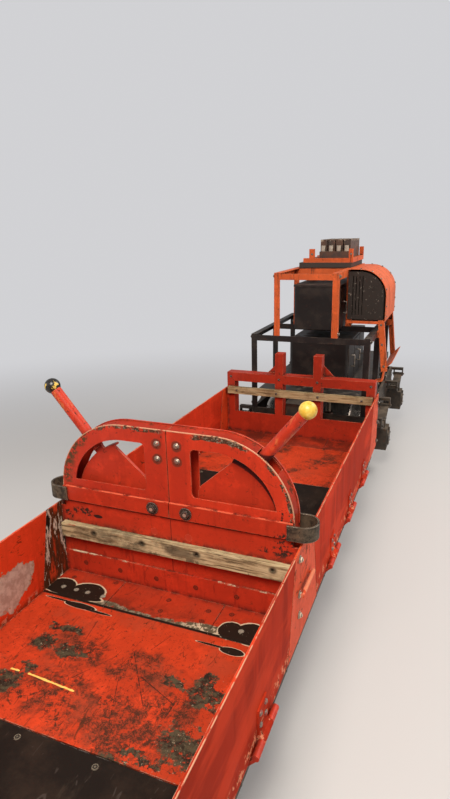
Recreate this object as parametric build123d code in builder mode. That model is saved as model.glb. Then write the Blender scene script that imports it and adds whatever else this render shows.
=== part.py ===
from build123d import *
from math import asin, cos, degrees, radians, sin, sqrt
import os

# Row frame: X across the car, Y along it, Z up, zero at the bottoms of the wheel flanges.
# Track, wheels and overall sizes
gauge = 610
wheel_diameter = 508
flange_depth = 25
flange_thickness = 24
flange_play = 2
flange_crest = (0.3, 0.7)
tread_width = 74
tread_fall = 3.7
axle_radius = 55
journal_radius = 40
hub_radius = 95
hub_stand = 12
rim_depth = 42
web_thickness = 26
web_taper = 6
wheel_hole_radius = 34
wheel_holes = 4
floor_height = 425
half_length = 4115
wheelbase = 1100

# Gaps: between moving bodies, between seated faces, and in bearings
clearance = 6
seat_gap = 0.3
bearing_gap = 0.1

# Bays, side walls and flaps
wall_inner = 533
wall_thickness = 8
wall_height = 330
wall_drop = 45
divider_depth = 80
bulkhead_depth = 80
flap_start = 138
flap_slant = 74
hinge_pitch = 455
hinge_offset = 15
hinge_drop = 37
knuckle_radius = 12
hinge_pin_radius = 6
butt_length = 60
strap_width = 80
strap_height = 110
strap_thickness = 6
knuckle_gap = 1
arm_drop = 58

# Floor
floor_plate = 6
floor_edge_gap = 8
joint_gap = 4
transition_length = 175
transition_seam = 230
centre_plate_length = 342

# Divider
plate = 6
seam = 3
divider_half_width = 510
shoulder_x = 200
shoulder_radius = 310
shoulder_rise = 405
window_inner_x = 100
window_low = 450
window_radius = 246
window_corner = 18
rim_inset = 4
rim_thickness = 6
beam_low = 350
beam_height = 65
beam_bar = 10
panel_lap = 12
panel_shoulder_drop = 15
base_strip_height = 100
base_strip = 6

# Levers
lever_pivot_x = 77
lever_pivot_rise = 270
lever_angle = 50.7
lever_travel = 6
lever_radius = 23
ball_radius = 32.5
ball_distance = 733
ball_stem_radius = 10
ball_stem_length = 30
sector_x = 173
sector_rise = 348
sector_radius = 272
sector_low_angle = -3
sector_top_angle = 71.9
sector_edge_x = 112
sector_corner_rise = 477
sector_corner_cut = 12
sector_thickness = 12
sector_flange = 8
sector_flange_depth = 22
tube_cover = 14
slot_side_gap = 5
boss_radius = 45
boss_half_width = 20
pivot_pin_radius = 15

# Divider bolts
beam_bolt_x = 74
beam_bolt_rise = 380
beam_bolt_radius = 10
beam_bolt_head = 16
washer_radius = 26
washer_thickness = 3
washer_trim = 1
head_height = 9
dome_bolt_x = 43
dome_bolt_rises = (593, 655)
dome_bolt_radius = 7
dome_head_radius = 13
dome_head_height = 6

# Timber battens
batten_low = 181
batten_height = 62
batten_depth = 30
batten_holes = (-355, -123, 124, 436)
batten_hole_radius = 7
batten_hole_rise = 41
batten_end_gap = 12

# Strap hoops at the divider's ends
hoop_low = 350
hoop_height = 60
hoop_thickness = 7
hoop_leg_start = 485
hoop_centre_x = 535

# Grab rods outside the corner plates
grab_rod_radius = 8
grab_rod_length = 175
grab_rod_rise = 152
grab_rod_stand = 14
grab_stand_radius = 6

# Bulkheads
bulkhead_bar_low = 380
bulkhead_bar_height = 63
bulkhead_bar_thickness = 12
bulkhead_batten_low = 290
bulkhead_batten_height = 50
bulkhead_post_width = 58
bulkhead_post_x = 138
bulkhead_post_rise = 155
bulkhead_gusset = 76
bulkhead_kick_height = 150

# Underframe
solebar_outer = 515
solebar_height = 144
solebar_flange = 60
solebar_web = 8
solebar_flange_thickness = 10
cross_member_count = 9
cross_member_end = 150
cross_member_width = 60
cross_member_height = 100
cross_member_wall = 8
truck_gap = 150
headstock_depth = 60
headstock_web = 12
neck_half_width = 120
neck_low = 550
neck_height = 90
neck_wall = 10
centre_plate_radius = 110
centre_plate_height = 35
king_pin_radius = 30

# Truck frame
side_frame_inner = 425
side_frame_thickness = 20
frame_top = 520
frame_waist = 330
pedestal_low = 190
pedestal_half_width = 130
frame_overhang = 300
end_beam_depth = 150
end_beam_thickness = 20
bolster_half_length = 100
bolster_low = 380
bolster_top = 480
corner_gusset = 90
corner_gusset_thickness = 12
corner_gusset_low = 400

# Axleboxes and springs
box_half_width = 75
box_half_height = 85
box_inner = 400
box_outer = 575
box_wall = 35
journal_play = 3
horn_clearance = 5
leaf_count = 5
leaf_thickness = 11
leaf_width = 70
leaf_half_length = 270
leaf_step = 42
leaf_rise = 40
buckle_half_length = 32
buckle_wall = 8
eye_radius = 15
eye_pin_radius = 9
shackle_half_width = 20
shackle_thickness = 10
shackle_bracket = 22
box_cover_radius = 60
box_cover_thickness = 12
box_rib = 14
hanger_thickness = 16

# Brakes
shoe_gap = 6
shoe_thickness = 38
shoe_half_angle = 17
shoe_flange_gap = 8
shoe_seat = 5
brake_beam_height = 34
brake_beam_depth = 26
brake_cylinder_radius = 62
brake_cylinder_length = 170
brake_cylinder_z = 440

# Motor
motor_radius = 148
motor_half_width = 225
motor_axle_distance = 268
motor_rise = 20
motor_edge = 22
nose_half_width = 60
nose_low = 395
nose_height = 55
axle_arm_x = 165
axle_arm_width = 40
axle_arm_wall = 26
axle_arm_gap = 5
motor_rib = 7
motor_rib_width = 14
motor_rib_places = (-90, -30, 30, 90)
end_cover_radius = 105
end_cover_thickness = 12
gear_case_start = 235
gear_case_end = 260
gear_case_radius = 108
pinion_case_radius = 80

# Equipment on each truck
post_section = 44
post_wall = 6
post_count = 3
frame_length = 1148
deck_gap = 20
deck_plate = 8
frame_mid = 1105
frame_high = 1560
frame_high_left = -265
frame_high_right = 210
rail_height = 50
hood_outer = 500
hood_radius = 200
hood_low = 1185
hood_sheet = 4
hood_start = 500
hood_lap = 9
hood_length = 630
strut_top_x = 447
strut_foot_x = 490
strut_foot = 792
strut_width = 44
strut_thickness = 8
strut_leg = 36
sill_height = 30
shield_outer_x = 570
shield_rise = 82
shield_depth = 10
bracket_line = ((447, 703), (500, 716), (512, 806))
bracket_band = 12
bracket_length = 70
resistor_plate = 8
resistor_pitch = 45
resistor_inset = 20
resistor_frame = 34
resistor_slot = 7
resistor_slot_pitch = 24
resistor_rod_radius = 9
resistor_rods = ((0, 120), (-60, -110), (110, -110), (96, 60))
switch_start = 2760
switch_length = 520
board_x = (-225, 196)
board_height = 40
cradle_x = (-192, 207)
cradle_height = 34
cheek_height = 72
cheek_spans = ((-144, -98), (171, 207))
cheek_thickness = 8
chute_x = (-69, 171)
chute_count = 4
chute_gap = 8
chute_base = 50
chute_height = 91
chute_well = 41
chute_wall = 12
chute_front = 40
insulator_radius = 16
insulator_height = 46
case_width = 480
case_length = 820
case_height = 330
case_corner = 24
case_lid = 14
case_lip = 8
case_door = 5
case_doors = 3

# Coupler and current collector
coupler_height = 430
buffer_reach = 215
buffer_radius = 110
buffer_face = 24
buffer_neck_radius = 60
buffer_neck_length = 50
draw_plate_half_width = 100
draw_plate_thickness = 12
drawbar_half_width = 45
drawbar_half_height = 32
coupler_pin_radius = 16
coupler_pin_setback = 105
collector_setback = 60
collector_height = 48
collector_thickness = 16
collector_half_length = 110
collector_half_width = 45
collector_ramp = 34
collector_stem_radius = 22
collector_disc_radius = 42
collector_disc_height = 14
collector_disc_levels = (190, 230, 270)

# Levels and places that follow from the sizes above
axle_height = flange_depth + wheel_diameter / 2
wheel_radius = wheel_diameter / 2
wheel_back = gauge / 2 - flange_thickness - flange_play
wheel_face = wheel_back + flange_thickness + tread_width
rim_inner_radius = wheel_radius - rim_depth
web_half = web_thickness / 2
web_middle = (wheel_back + wheel_face) / 2
divider_face = divider_depth / 2
truck_outer = half_length - buffer_reach
truck_inner = truck_outer - wheelbase - 2 * frame_overhang
pivot_distance = (truck_inner + truck_outer) / 2
body_end = truck_inner - truck_gap
bulkhead_end = body_end - headstock_depth
bay_end = bulkhead_end - bulkhead_depth
bay_middle = (divider_face + bay_end) / 2
shoulder_z = floor_height + shoulder_rise
divider_top = shoulder_z + shoulder_radius
beam_z = floor_height + beam_low
panel_top = beam_z + panel_lap
plate_low = panel_top + seam
wall_top = floor_height + wall_height
wall_bottom = floor_height - wall_drop
wall_outer = wall_inner + wall_thickness
floor_half_width = wall_inner - floor_edge_gap
frame_deck = floor_height - floor_plate
flap_end = 2 * bay_middle - flap_start
hinge_places = (bay_middle - hinge_pitch, bay_middle, bay_middle + hinge_pitch)
pivot_z = floor_height + lever_pivot_rise
hinge_x = wall_outer + hinge_offset
hinge_z = floor_height - hinge_drop
slant_per_mm = flap_slant / wall_height
axle_places = (pivot_distance - wheelbase / 2, pivot_distance + wheelbase / 2)
solebar_low = frame_deck - solebar_height
neck_top = neck_low + neck_height
centre_plate_top = neck_low
pad_top = centre_plate_top - centre_plate_height - seat_gap
journal_end = box_outer - box_wall
spring_x = (side_frame_inner + side_frame_thickness + box_outer) / 2

os.makedirs("parts", exist_ok=True)


def save(shape, name):
    """Labels a finished piece and writes it as its own node."""
    shape.label = name
    export_step(shape, f"parts/{name}.step")


def facing(y):
    """Upright sketch plane at y: its own x runs across the car, its own y runs up."""
    return Plane.XZ.offset(-y)


def sideways(x):
    """Upright sketch plane at x: its own x runs along the car, its own y runs up."""
    return Plane.YZ.offset(x)


def block(x, y, z, mode=Mode.ADD):
    """A squared bar or plate between its low and high coordinates on each axis."""
    with Locations((sum(x) / 2, sum(y) / 2, sum(z) / 2)):
        Box(x[1] - x[0], y[1] - y[0], z[1] - z[0], mode=mode)


def rod(x, y, z, radius, length, axis="Y", mode=Mode.ADD):
    """A round bar about its middle, along one of the frame's axes."""
    turns = {"X": (0, 90, 0), "Y": (90, 0, 0), "Z": (0, 0, 0)}
    with Locations((x, y, z)):
        Cylinder(radius, length, rotation=turns[axis], mode=mode)


def channel(back, mouth, low, high, web, flange):
    """Corners of a channel section with its web at back and its open side at mouth."""
    inside = back + web if mouth > back else back - web
    return [
        (back, low),
        (mouth, low),
        (mouth, low + flange),
        (inside, low + flange),
        (inside, high - flange),
        (mouth, high - flange),
        (mouth, high),
        (back, high),
    ]


def line_reach(centre, radius):
    """Distance along a lever's line from its pivot to a circle that is seen from the front."""
    dx = lever_pivot_x - centre[0]
    dz = pivot_z - centre[1]
    along = dx * cos(radians(lever_angle)) + dz * sin(radians(lever_angle))
    return sqrt(along**2 - dx**2 - dz**2 + radius**2) - along


def both_ends(shape, name):
    """Writes a truck's piece at the far end, and turned half round for the near end."""
    save(shape, f"{name}_a")
    save(shape.rotate(Axis.Z, 180), f"{name}_b")


def edge_y(z):
    """Slanted end of a flap: its distance from the divider's middle at height z."""
    return flap_start + (wall_top - z) * slant_per_mm


# Underframe: channel solebars with box cross members between them
with BuildPart() as solebars:
    with BuildSketch(facing(bulkhead_end)):
        with BuildLine():
            mouth = solebar_outer - solebar_flange
            section = channel(
                solebar_outer, mouth, solebar_low, frame_deck, solebar_web, solebar_flange_thickness
            )
            Polyline(*section, close=True)
        make_face()
    extrude(amount=2 * bulkhead_end)
    mirror(about=Plane.YZ)
save(solebars.part, "solebars")

with BuildPart() as cross_members:
    half = solebar_outer - solebar_web
    member_pitch = 2 * (bulkhead_end - cross_member_end) / (cross_member_count - 1)
    member_low = frame_deck - cross_member_height
    for step in range(cross_member_count):
        middle = (step - (cross_member_count - 1) / 2) * member_pitch
        reach = (middle - cross_member_width / 2, middle + cross_member_width / 2)
        hollow = (reach[0] + cross_member_wall, reach[1] - cross_member_wall)
        level = (member_low + cross_member_wall, frame_deck - cross_member_wall)
        block((-half, half), reach, (member_low, frame_deck))
        block((-half, half), hollow, level, mode=Mode.SUBTRACT)
        for side in (-1, 1):
            notch = sorted((side * half, side * mouth))
            block(notch, reach, (frame_deck - solebar_flange_thickness, frame_deck), mode=Mode.SUBTRACT)
save(cross_members.part, "cross_members")

with BuildPart() as headstocks:
    with BuildSketch(sideways(-solebar_outer)):
        with BuildLine():
            section = channel(
                body_end, bulkhead_end, solebar_low, frame_deck, headstock_web, solebar_flange_thickness
            )
            Polyline(*section, close=True)
        make_face()
    extrude(amount=2 * solebar_outer)
    mirror(about=Plane.XZ)
save(headstocks.part, "headstocks")

# Pivot beams: a box beam from each headstock out over the truck, with the upper centre plate
with BuildPart() as pivot_beams:
    block((-neck_half_width, neck_half_width), (bulkhead_end, body_end), (frame_deck, neck_top))
    block((-neck_half_width, neck_half_width), (body_end, pivot_distance), (neck_low, neck_top))
    inside = (neck_low + neck_wall, neck_top - neck_wall)
    hollow = (body_end + neck_wall, pivot_distance - centre_plate_radius)
    inner_width = (neck_wall - neck_half_width, neck_half_width - neck_wall)
    block(inner_width, hollow, inside, mode=Mode.SUBTRACT)
    rod(0, pivot_distance, neck_low + neck_height / 2, neck_half_width, neck_height, "Z")
    plate_z = centre_plate_top - centre_plate_height / 2
    rod(0, pivot_distance, plate_z, centre_plate_radius, centre_plate_height, "Z")
    bore_radius = king_pin_radius + bearing_gap
    rod(0, pivot_distance, centre_plate_top, bore_radius, 2 * neck_height, "Z", Mode.SUBTRACT)
    mirror(about=Plane.XZ)
save(pivot_beams.part, "pivot_beams")

# Bay floors, in plates that butt together along the bay
floor_spans = {
    "transition_plates": [(divider_face + base_strip, divider_face + base_strip + transition_length)],
    "floor_plates": [],
    "centre_floor_plates": [],
}
red_start = divider_face + base_strip + transition_length + joint_gap
red_end = bay_middle - centre_plate_length / 2 - joint_gap
floor_spans["floor_plates"].append((red_start, red_end))
floor_spans["centre_floor_plates"].append((red_end + joint_gap, 2 * bay_middle - red_end - joint_gap))
floor_spans["floor_plates"].append((2 * bay_middle - red_end, 2 * bay_middle - red_start))
floor_spans["transition_plates"].append((2 * bay_middle - red_start + joint_gap, bay_end))

for name, spans in floor_spans.items():
    with BuildPart() as floor:
        for span in spans:
            block((-floor_half_width, floor_half_width), span, (frame_deck, floor_height))
            if name == "transition_plates":
                for x in (-transition_seam, transition_seam):
                    block((x - seam / 2, x + seam / 2), span, (frame_deck, floor_height), mode=Mode.SUBTRACT)
        mirror(about=Plane.XZ)
    save(floor.part, name)

# Divider plates: four quarters of plate with D-shaped windows, front and rear, left and right


def shoulder_face(inset, y):
    """Right half of the divider's outline above the beam, moved inwards by inset, in the plane at y."""
    side = divider_half_width - inset
    top = divider_top - inset
    with BuildSketch(facing(y)) as outline:
        with BuildLine():
            Polyline(
                (shoulder_x, top),
                (seam / 2, top),
                (seam / 2, plate_low),
                (side, plate_low),
                (side, shoulder_z),
            )
            CenterArc((shoulder_x, shoulder_z), shoulder_radius - inset, 0, 90)
        make_face()
    return outline.sketch


window_sill = floor_height + window_low
window_top = shoulder_z + window_radius
window_side = shoulder_x + sqrt(window_radius**2 - (window_sill - shoulder_z) ** 2)
window_start = degrees(asin((window_sill - shoulder_z) / window_radius))

with BuildPart() as divider_plates:
    extrude(shoulder_face(0, divider_face), amount=plate)
    with BuildSketch(facing(divider_face)) as window:
        with BuildLine():
            Polyline(
                (shoulder_x, window_top),
                (window_inner_x, window_top),
                (window_inner_x, window_sill),
                (window_side, window_sill),
            )
            CenterArc((shoulder_x, shoulder_z), window_radius, window_start, 90 - window_start)
        make_face()
        fillet(window.vertices().sort_by(Axis.X)[0:2], window_corner)
    extrude(amount=plate, mode=Mode.SUBTRACT)
    with Locations(*[(dome_bolt_x, divider_face, floor_height + rise) for rise in dome_bolt_rises]):
        Cylinder(dome_bolt_radius, 3 * plate, rotation=(90, 0, 0), mode=Mode.SUBTRACT)
    with Locations((beam_bolt_x, divider_face, floor_height + beam_bolt_rise)):
        Cylinder(beam_bolt_radius, 3 * plate, rotation=(90, 0, 0), mode=Mode.SUBTRACT)
    mirror(about=Plane.YZ)
    mirror(about=Plane.XZ)
save(divider_plates.part, "divider_plates")

# Rims: the bent strip that closes the gap between the plates, slotted for the levers
rim_reach = line_reach((shoulder_x, shoulder_z), shoulder_radius - rim_inset - rim_thickness)
slot_margin = degrees(asin((lever_radius + clearance) / rim_reach))
slot_angles = (lever_angle - lever_travel - slot_margin, lever_angle + slot_margin)
slot_reach = ball_distance
slot_half_width = lever_radius + slot_side_gap

with BuildPart() as divider_rims:
    rim_face = divider_face - plate
    extrude(shoulder_face(rim_inset, rim_face), amount=2 * rim_face)
    extrude(shoulder_face(rim_inset + rim_thickness, rim_face), amount=2 * rim_face, mode=Mode.SUBTRACT)
    with BuildSketch(facing(slot_half_width)):
        with BuildLine():
            Polyline(
                (lever_pivot_x, pivot_z),
                *[
                    (lever_pivot_x + slot_reach * cos(radians(a)), pivot_z + slot_reach * sin(radians(a)))
                    for a in slot_angles
                ],
                close=True,
            )
        make_face()
    extrude(amount=2 * slot_half_width, mode=Mode.SUBTRACT)
    mirror(about=Plane.YZ)
save(divider_rims.part, "divider_rims")

# Lower panels across the bay ends, base strips and the beam bars that cover the joint
with BuildPart() as divider_panels:
    with BuildSketch(facing(divider_face)):
        with BuildLine():
            Polyline(
                (0, floor_height),
                (wall_inner, floor_height),
                (wall_inner, wall_top - panel_shoulder_drop),
                (divider_half_width - rim_inset, wall_top - panel_shoulder_drop),
                (divider_half_width - rim_inset, panel_top),
                (0, panel_top),
                close=True,
            )
        make_face()
    extrude(amount=plate)
    strip = (divider_face, divider_face + base_strip)
    block((0, wall_inner), strip, (floor_height, floor_height + base_strip_height))
    with Locations((lever_pivot_x, divider_face, pivot_z)):
        Cylinder(pivot_pin_radius, 3 * plate, rotation=(90, 0, 0), mode=Mode.SUBTRACT)
    bar = (divider_face, divider_face + beam_bar)
    block((seam / 2, divider_half_width - rim_inset), bar, (beam_z, beam_z + beam_height))
    with Locations((beam_bolt_x, divider_face, floor_height + beam_bolt_rise)):
        Cylinder(beam_bolt_radius, 3 * beam_bar, rotation=(90, 0, 0), mode=Mode.SUBTRACT)
    mirror(about=Plane.YZ)
    mirror(about=Plane.XZ)
save(divider_panels.part, "divider_panels")

# Bolts through the divider and the pins that the levers turn on
with BuildPart() as divider_bolts:
    with Locations((lever_pivot_x, 0, pivot_z)):
        Cylinder(pivot_pin_radius, divider_depth, rotation=(90, 0, 0))
    bar_face = divider_face + beam_bar
    with Locations((beam_bolt_x, 0, floor_height + beam_bolt_rise)):
        Cylinder(beam_bolt_radius, 2 * bar_face, rotation=(90, 0, 0))
        Cylinder(washer_radius, 2 * (bar_face + washer_thickness), rotation=(90, 0, 0))
        Cylinder(washer_radius + washer_trim, 2 * bar_face, rotation=(90, 0, 0), mode=Mode.SUBTRACT)
        Cylinder(beam_bolt_radius, 2 * bar_face, rotation=(90, 0, 0))
    head_start = bar_face + washer_thickness
    for y in (-head_start, head_start + head_height):
        with BuildSketch(facing(y)):
            with Locations((beam_bolt_x, floor_height + beam_bolt_rise)):
                RegularPolygon(beam_bolt_head, 6)
        extrude(amount=head_height)
    with Locations(*[(dome_bolt_x, 0, floor_height + rise) for rise in dome_bolt_rises]):
        Cylinder(dome_bolt_radius, divider_depth, rotation=(90, 0, 0))
    for rise in dome_bolt_rises:
        for turn, y in ((90, -divider_face), (-90, divider_face)):
            with Locations((dome_bolt_x, y, floor_height + rise)):
                Cone(
                    dome_head_radius,
                    dome_head_radius / 2,
                    dome_head_height,
                    rotation=(turn, 0, 0),
                    align=(Align.CENTER, Align.CENTER, Align.MIN),
                )
    mirror(about=Plane.YZ)
save(divider_bolts.part, "divider_bolts")

# Timber battens across the divider's faces and the bulkheads' bay faces
with BuildPart() as battens:
    half = wall_inner - batten_end_gap
    divider_batten = (divider_face, divider_face + batten_depth)
    low = floor_height + batten_low
    block((-half, half), divider_batten, (low, low + batten_height))
    end_batten = (bay_end - batten_depth, bay_end)
    end_low = floor_height + bulkhead_batten_low
    block((-half, half), end_batten, (end_low, end_low + bulkhead_batten_height))
    hole_z = low + batten_hole_rise
    with Locations(*[(x, divider_face, hole_z) for x in batten_holes]):
        Cylinder(batten_hole_radius, 3 * batten_depth, rotation=(90, 0, 0), mode=Mode.SUBTRACT)
    mirror(about=Plane.XZ)
save(battens.part, "battens")

# Strap hoops round the ends of the divider's beam
with BuildPart() as hoops:
    hoop_inside = divider_face + beam_bar + seat_gap
    with BuildSketch(Plane.XY.offset(floor_height + hoop_low)):
        for radius, mode in ((hoop_inside + hoop_thickness, Mode.ADD), (hoop_inside, Mode.SUBTRACT)):
            with Locations((hoop_centre_x, 0)):
                Circle(radius, mode=mode)
            with Locations((hoop_centre_x - radius, 0)):
                Rectangle(2 * radius, 2 * radius, mode=mode)
    extrude(amount=hoop_height)
    hoop_reach = hoop_inside + hoop_thickness
    hoop_z = (floor_height + hoop_low, floor_height + hoop_low + hoop_height)
    before_leg = (hoop_centre_x - 2 * hoop_reach, hoop_leg_start)
    block(before_leg, (-hoop_reach, hoop_reach), hoop_z, mode=Mode.SUBTRACT)
    mirror(about=Plane.YZ)
save(hoops.part, "hoops")

# Fixed corner plates, their feet on the solebars, and grab rods
foot = (solebar_outer, wall_inner)
foot_z = (frame_deck - wall_drop, frame_deck)

with BuildPart() as corner_plates:
    with BuildSketch(sideways(wall_inner)):
        with BuildLine():
            low = foot_z[0]
            Polyline(
                (edge_y(wall_top) - clearance, wall_top),
                (edge_y(low) - clearance, low),
                (-edge_y(low) + clearance, low),
                (-edge_y(wall_top) + clearance, wall_top),
                close=True,
            )
        make_face()
        far_top = flap_end + clearance
        far_low = 2 * bay_middle - edge_y(low) + clearance
        for end in (-1, 1):
            with BuildLine():
                Polyline(
                    (end * far_top, wall_top),
                    (end * far_low, low),
                    (end * body_end, low),
                    (end * body_end, wall_top),
                    close=True,
                )
            make_face()
    extrude(amount=wall_thickness)
    reach = edge_y(foot_z[1]) - clearance
    block(foot, (-reach, reach), foot_z)
    end_foot = (2 * bay_middle - reach, body_end)
    block(foot, end_foot, foot_z)
    block(foot, (-end_foot[1], -end_foot[0]), foot_z)
    rod_z = floor_height + grab_rod_rise
    rod_x = wall_outer + grab_rod_stand
    with Locations((rod_x, 0, rod_z)):
        Cylinder(grab_rod_radius, grab_rod_length, rotation=(90, 0, 0))
    stand_y = grab_rod_length / 2 - 2 * grab_rod_radius
    for y in (-stand_y, stand_y):
        with Locations(((wall_outer + rod_x) / 2, y, rod_z)):
            Cylinder(grab_stand_radius, grab_rod_stand, rotation=(0, 90, 0))
    mirror(about=Plane.YZ)
save(corner_plates.part, "corner_plates")

# Bulkheads: an open frame of posts, bar and kick plate behind each bay's end
with BuildPart() as bulkheads:
    bar_low = floor_height + bulkhead_bar_low
    bar_top = bar_low + bulkhead_bar_height
    frame_depth = (bay_end, bulkhead_end)
    block((wall_inner - bulkhead_post_width, wall_inner), frame_depth, (frame_deck, bar_top))
    post_reach = (bulkhead_post_x - bulkhead_post_width / 2, bulkhead_post_x + bulkhead_post_width / 2)
    post_top = bar_top + bulkhead_post_rise
    block(post_reach, frame_depth, (frame_deck, post_top))
    with BuildSketch(facing(bulkhead_end)):
        with BuildLine():
            Polyline(
                (post_reach[1], bar_top + bulkhead_gusset),
                (post_reach[1] + bulkhead_gusset, bar_top),
                (post_reach[1], bar_top),
                close=True,
            )
        make_face()
    extrude(amount=plate)
    bar_depth = (bay_end, bay_end + bulkhead_bar_thickness)
    block((0, wall_inner), bar_depth, (bar_low, bar_top))
    block((0, wall_inner), (bay_end, bay_end + plate), (frame_deck, floor_height + bulkhead_kick_height))
    block((0, wall_inner), frame_depth, (bar_top - plate, bar_top))
    mirror(about=Plane.YZ)
    mirror(about=Plane.XZ)
save(bulkheads.part, "bulkheads")

# Hinges: fixed butts on the solebars with their pins, and the flaps that turn on them
middle_half = strap_width / 2
butt_start = middle_half + knuckle_gap
arm_low = hinge_z - arm_drop
knuckle_lean = knuckle_radius * sqrt(0.5)

with BuildPart() as hinge_butts:
    for place in hinge_places:
        for side in (-1, 1):
            middle = place + side * (butt_start + butt_length / 2)
            with BuildSketch(facing(middle + butt_length / 2)):
                with Locations((hinge_x, hinge_z)):
                    Circle(knuckle_radius)
                with BuildLine():
                    Polyline(
                        (hinge_x + knuckle_radius, hinge_z),
                        (hinge_x - knuckle_lean, hinge_z - knuckle_lean),
                        (solebar_outer, arm_low + 2 * knuckle_radius),
                        (solebar_outer, arm_low),
                        close=True,
                    )
                make_face()
            extrude(amount=butt_length)
        with Locations((hinge_x, place, hinge_z)):
            Cylinder(hinge_pin_radius, 2 * (butt_start + butt_length), rotation=(90, 0, 0))
    mirror(about=Plane.XZ)
    mirror(about=Plane.YZ)
save(hinge_butts.part, "hinge_butts")

with BuildPart() as flap:
    with BuildSketch(sideways(wall_inner)):
        with BuildLine():
            Polyline(
                (flap_start, wall_top),
                (edge_y(wall_bottom), wall_bottom),
                (2 * bay_middle - edge_y(wall_bottom), wall_bottom),
                (flap_end, wall_top),
                close=True,
            )
        make_face()
    extrude(amount=wall_thickness)
    for place in hinge_places:
        strap_top = hinge_z + strap_height
        with BuildSketch(facing(place + middle_half)):
            with Locations((hinge_x, hinge_z)):
                Circle(knuckle_radius)
            with BuildLine():
                Polyline(
                    (wall_outer, hinge_z),
                    (hinge_x, hinge_z + knuckle_radius),
                    (wall_outer + strap_thickness, hinge_z + 2 * knuckle_radius),
                    (wall_outer + strap_thickness, strap_top),
                    (wall_outer, strap_top),
                    close=True,
                )
            make_face()
        extrude(amount=strap_width)
        with Locations((hinge_x, place, hinge_z)):
            Cylinder(hinge_pin_radius + bearing_gap, 2 * strap_width, rotation=(90, 0, 0), mode=Mode.SUBTRACT)

flap_corners = {
    "flap_right_a": flap.part,
    "flap_left_a": flap.part.mirror(Plane.YZ),
    "flap_right_b": flap.part.mirror(Plane.XZ),
    "flap_left_b": flap.part.mirror(Plane.YZ).mirror(Plane.XZ),
}
for name, shape in flap_corners.items():
    save(shape, name)

# Levers: a quadrant plate on a boss, the tube that comes out through the rim, and its ball
lever_line = Plane(
    origin=(lever_pivot_x, 0, pivot_z),
    x_dir=(0, 1, 0),
    z_dir=(cos(radians(lever_angle)), 0, sin(radians(lever_angle))),
)
tube_end = ball_distance - sqrt(ball_radius**2 - lever_radius**2)
tube_start = line_reach((shoulder_x, shoulder_z), window_radius) - tube_cover
sector_z = floor_height + sector_rise
neck_start = line_reach((sector_x, sector_z), sector_radius)

with BuildPart() as quadrant:
    with BuildSketch(facing(sector_thickness / 2)):
        with BuildLine():
            sweep_angle = sector_top_angle - sector_low_angle
            arc = CenterArc((sector_x, sector_z), sector_radius, sector_low_angle, sweep_angle)
            corner_z = floor_height + sector_corner_rise
            Polyline(
                arc @ 1,
                (sector_edge_x + sector_corner_cut, corner_z + sector_corner_cut),
                (sector_edge_x, corner_z - sector_corner_cut),
                (sector_edge_x, pivot_z + boss_radius),
                (lever_pivot_x - boss_radius, pivot_z),
                (lever_pivot_x, pivot_z - boss_radius),
                arc @ 0,
            )
        make_face()
    extrude(amount=sector_thickness)
    with BuildSketch(facing(sector_thickness / 2 + sector_flange_depth)):
        with BuildLine():
            outer_radius = sector_radius + sector_flange
            outer = CenterArc((sector_x, sector_z), outer_radius, sector_low_angle, sweep_angle)
            inner = CenterArc((sector_x, sector_z), sector_radius, sector_low_angle, sweep_angle)
            Line(outer @ 0, inner @ 0)
            Line(outer @ 1, inner @ 1)
        make_face()
    extrude(amount=sector_thickness + sector_flange_depth)
    rod(lever_pivot_x, 0, pivot_z, boss_radius, 2 * boss_half_width)
    rod(lever_pivot_x, 0, pivot_z, pivot_pin_radius + bearing_gap, divider_depth, mode=Mode.SUBTRACT)
    with BuildSketch(lever_line.offset(neck_start)):
        Rectangle(sector_thickness, 2 * lever_radius)
    extrude(amount=tube_start - neck_start)
    with BuildSketch(lever_line.offset(tube_start)):
        Circle(lever_radius)
    extrude(amount=tube_end - tube_start)
    with BuildSketch(lever_line.offset(tube_end)):
        Circle(ball_stem_radius)
    extrude(amount=ball_stem_length)

with BuildPart() as ball:
    with Locations(lever_line.offset(ball_distance).origin):
        Sphere(ball_radius)
    with BuildSketch(lever_line.offset(tube_end)):
        Circle(2 * ball_radius)
    extrude(amount=-2 * ball_radius, mode=Mode.SUBTRACT)
    with BuildSketch(lever_line.offset(tube_end)):
        Circle(ball_stem_radius)
    extrude(amount=ball_stem_length, mode=Mode.SUBTRACT)

save(quadrant.part, "quadrant_right")
save(quadrant.part.mirror(Plane.YZ), "quadrant_left")
save(ball.part, "ball_right")
save(ball.part.mirror(Plane.YZ), "ball_left")

# Wheelsets: axle with journals, and two disc wheels with coned, flanged treads
with BuildPart() as wheelset:
    with BuildSketch(Plane.XZ):
        with BuildLine():
            Polyline(
                (0, 0),
                (journal_end - journal_play, 0),
                (journal_end - journal_play, journal_radius),
                (wheel_face + hub_stand, journal_radius),
                (wheel_face + hub_stand, hub_radius),
                (web_middle + web_half + web_taper, hub_radius),
                (web_middle + web_half, rim_inner_radius),
                (wheel_face, rim_inner_radius),
                (wheel_face, wheel_radius - tread_fall),
                (wheel_back + flange_thickness, wheel_radius),
                (wheel_back + flange_thickness * flange_crest[1], wheel_radius + flange_depth),
                (wheel_back + flange_thickness * flange_crest[0], wheel_radius + flange_depth),
                (wheel_back, wheel_radius + flange_depth / 2),
                (wheel_back, rim_inner_radius),
                (web_middle - web_half, rim_inner_radius),
                (web_middle - web_half - web_taper, hub_radius),
                (wheel_back - hub_stand, hub_radius),
                (wheel_back - hub_stand, axle_radius),
                (0, axle_radius),
                close=True,
            )
        make_face()
    revolve(axis=Axis.X)
    with BuildSketch(sideways(wheel_back)):
        with PolarLocations((hub_radius + rim_inner_radius) / 2, wheel_holes):
            Circle(wheel_hole_radius)
    extrude(amount=wheel_face - wheel_back, mode=Mode.SUBTRACT)
    mirror(about=Plane.YZ)

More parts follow.
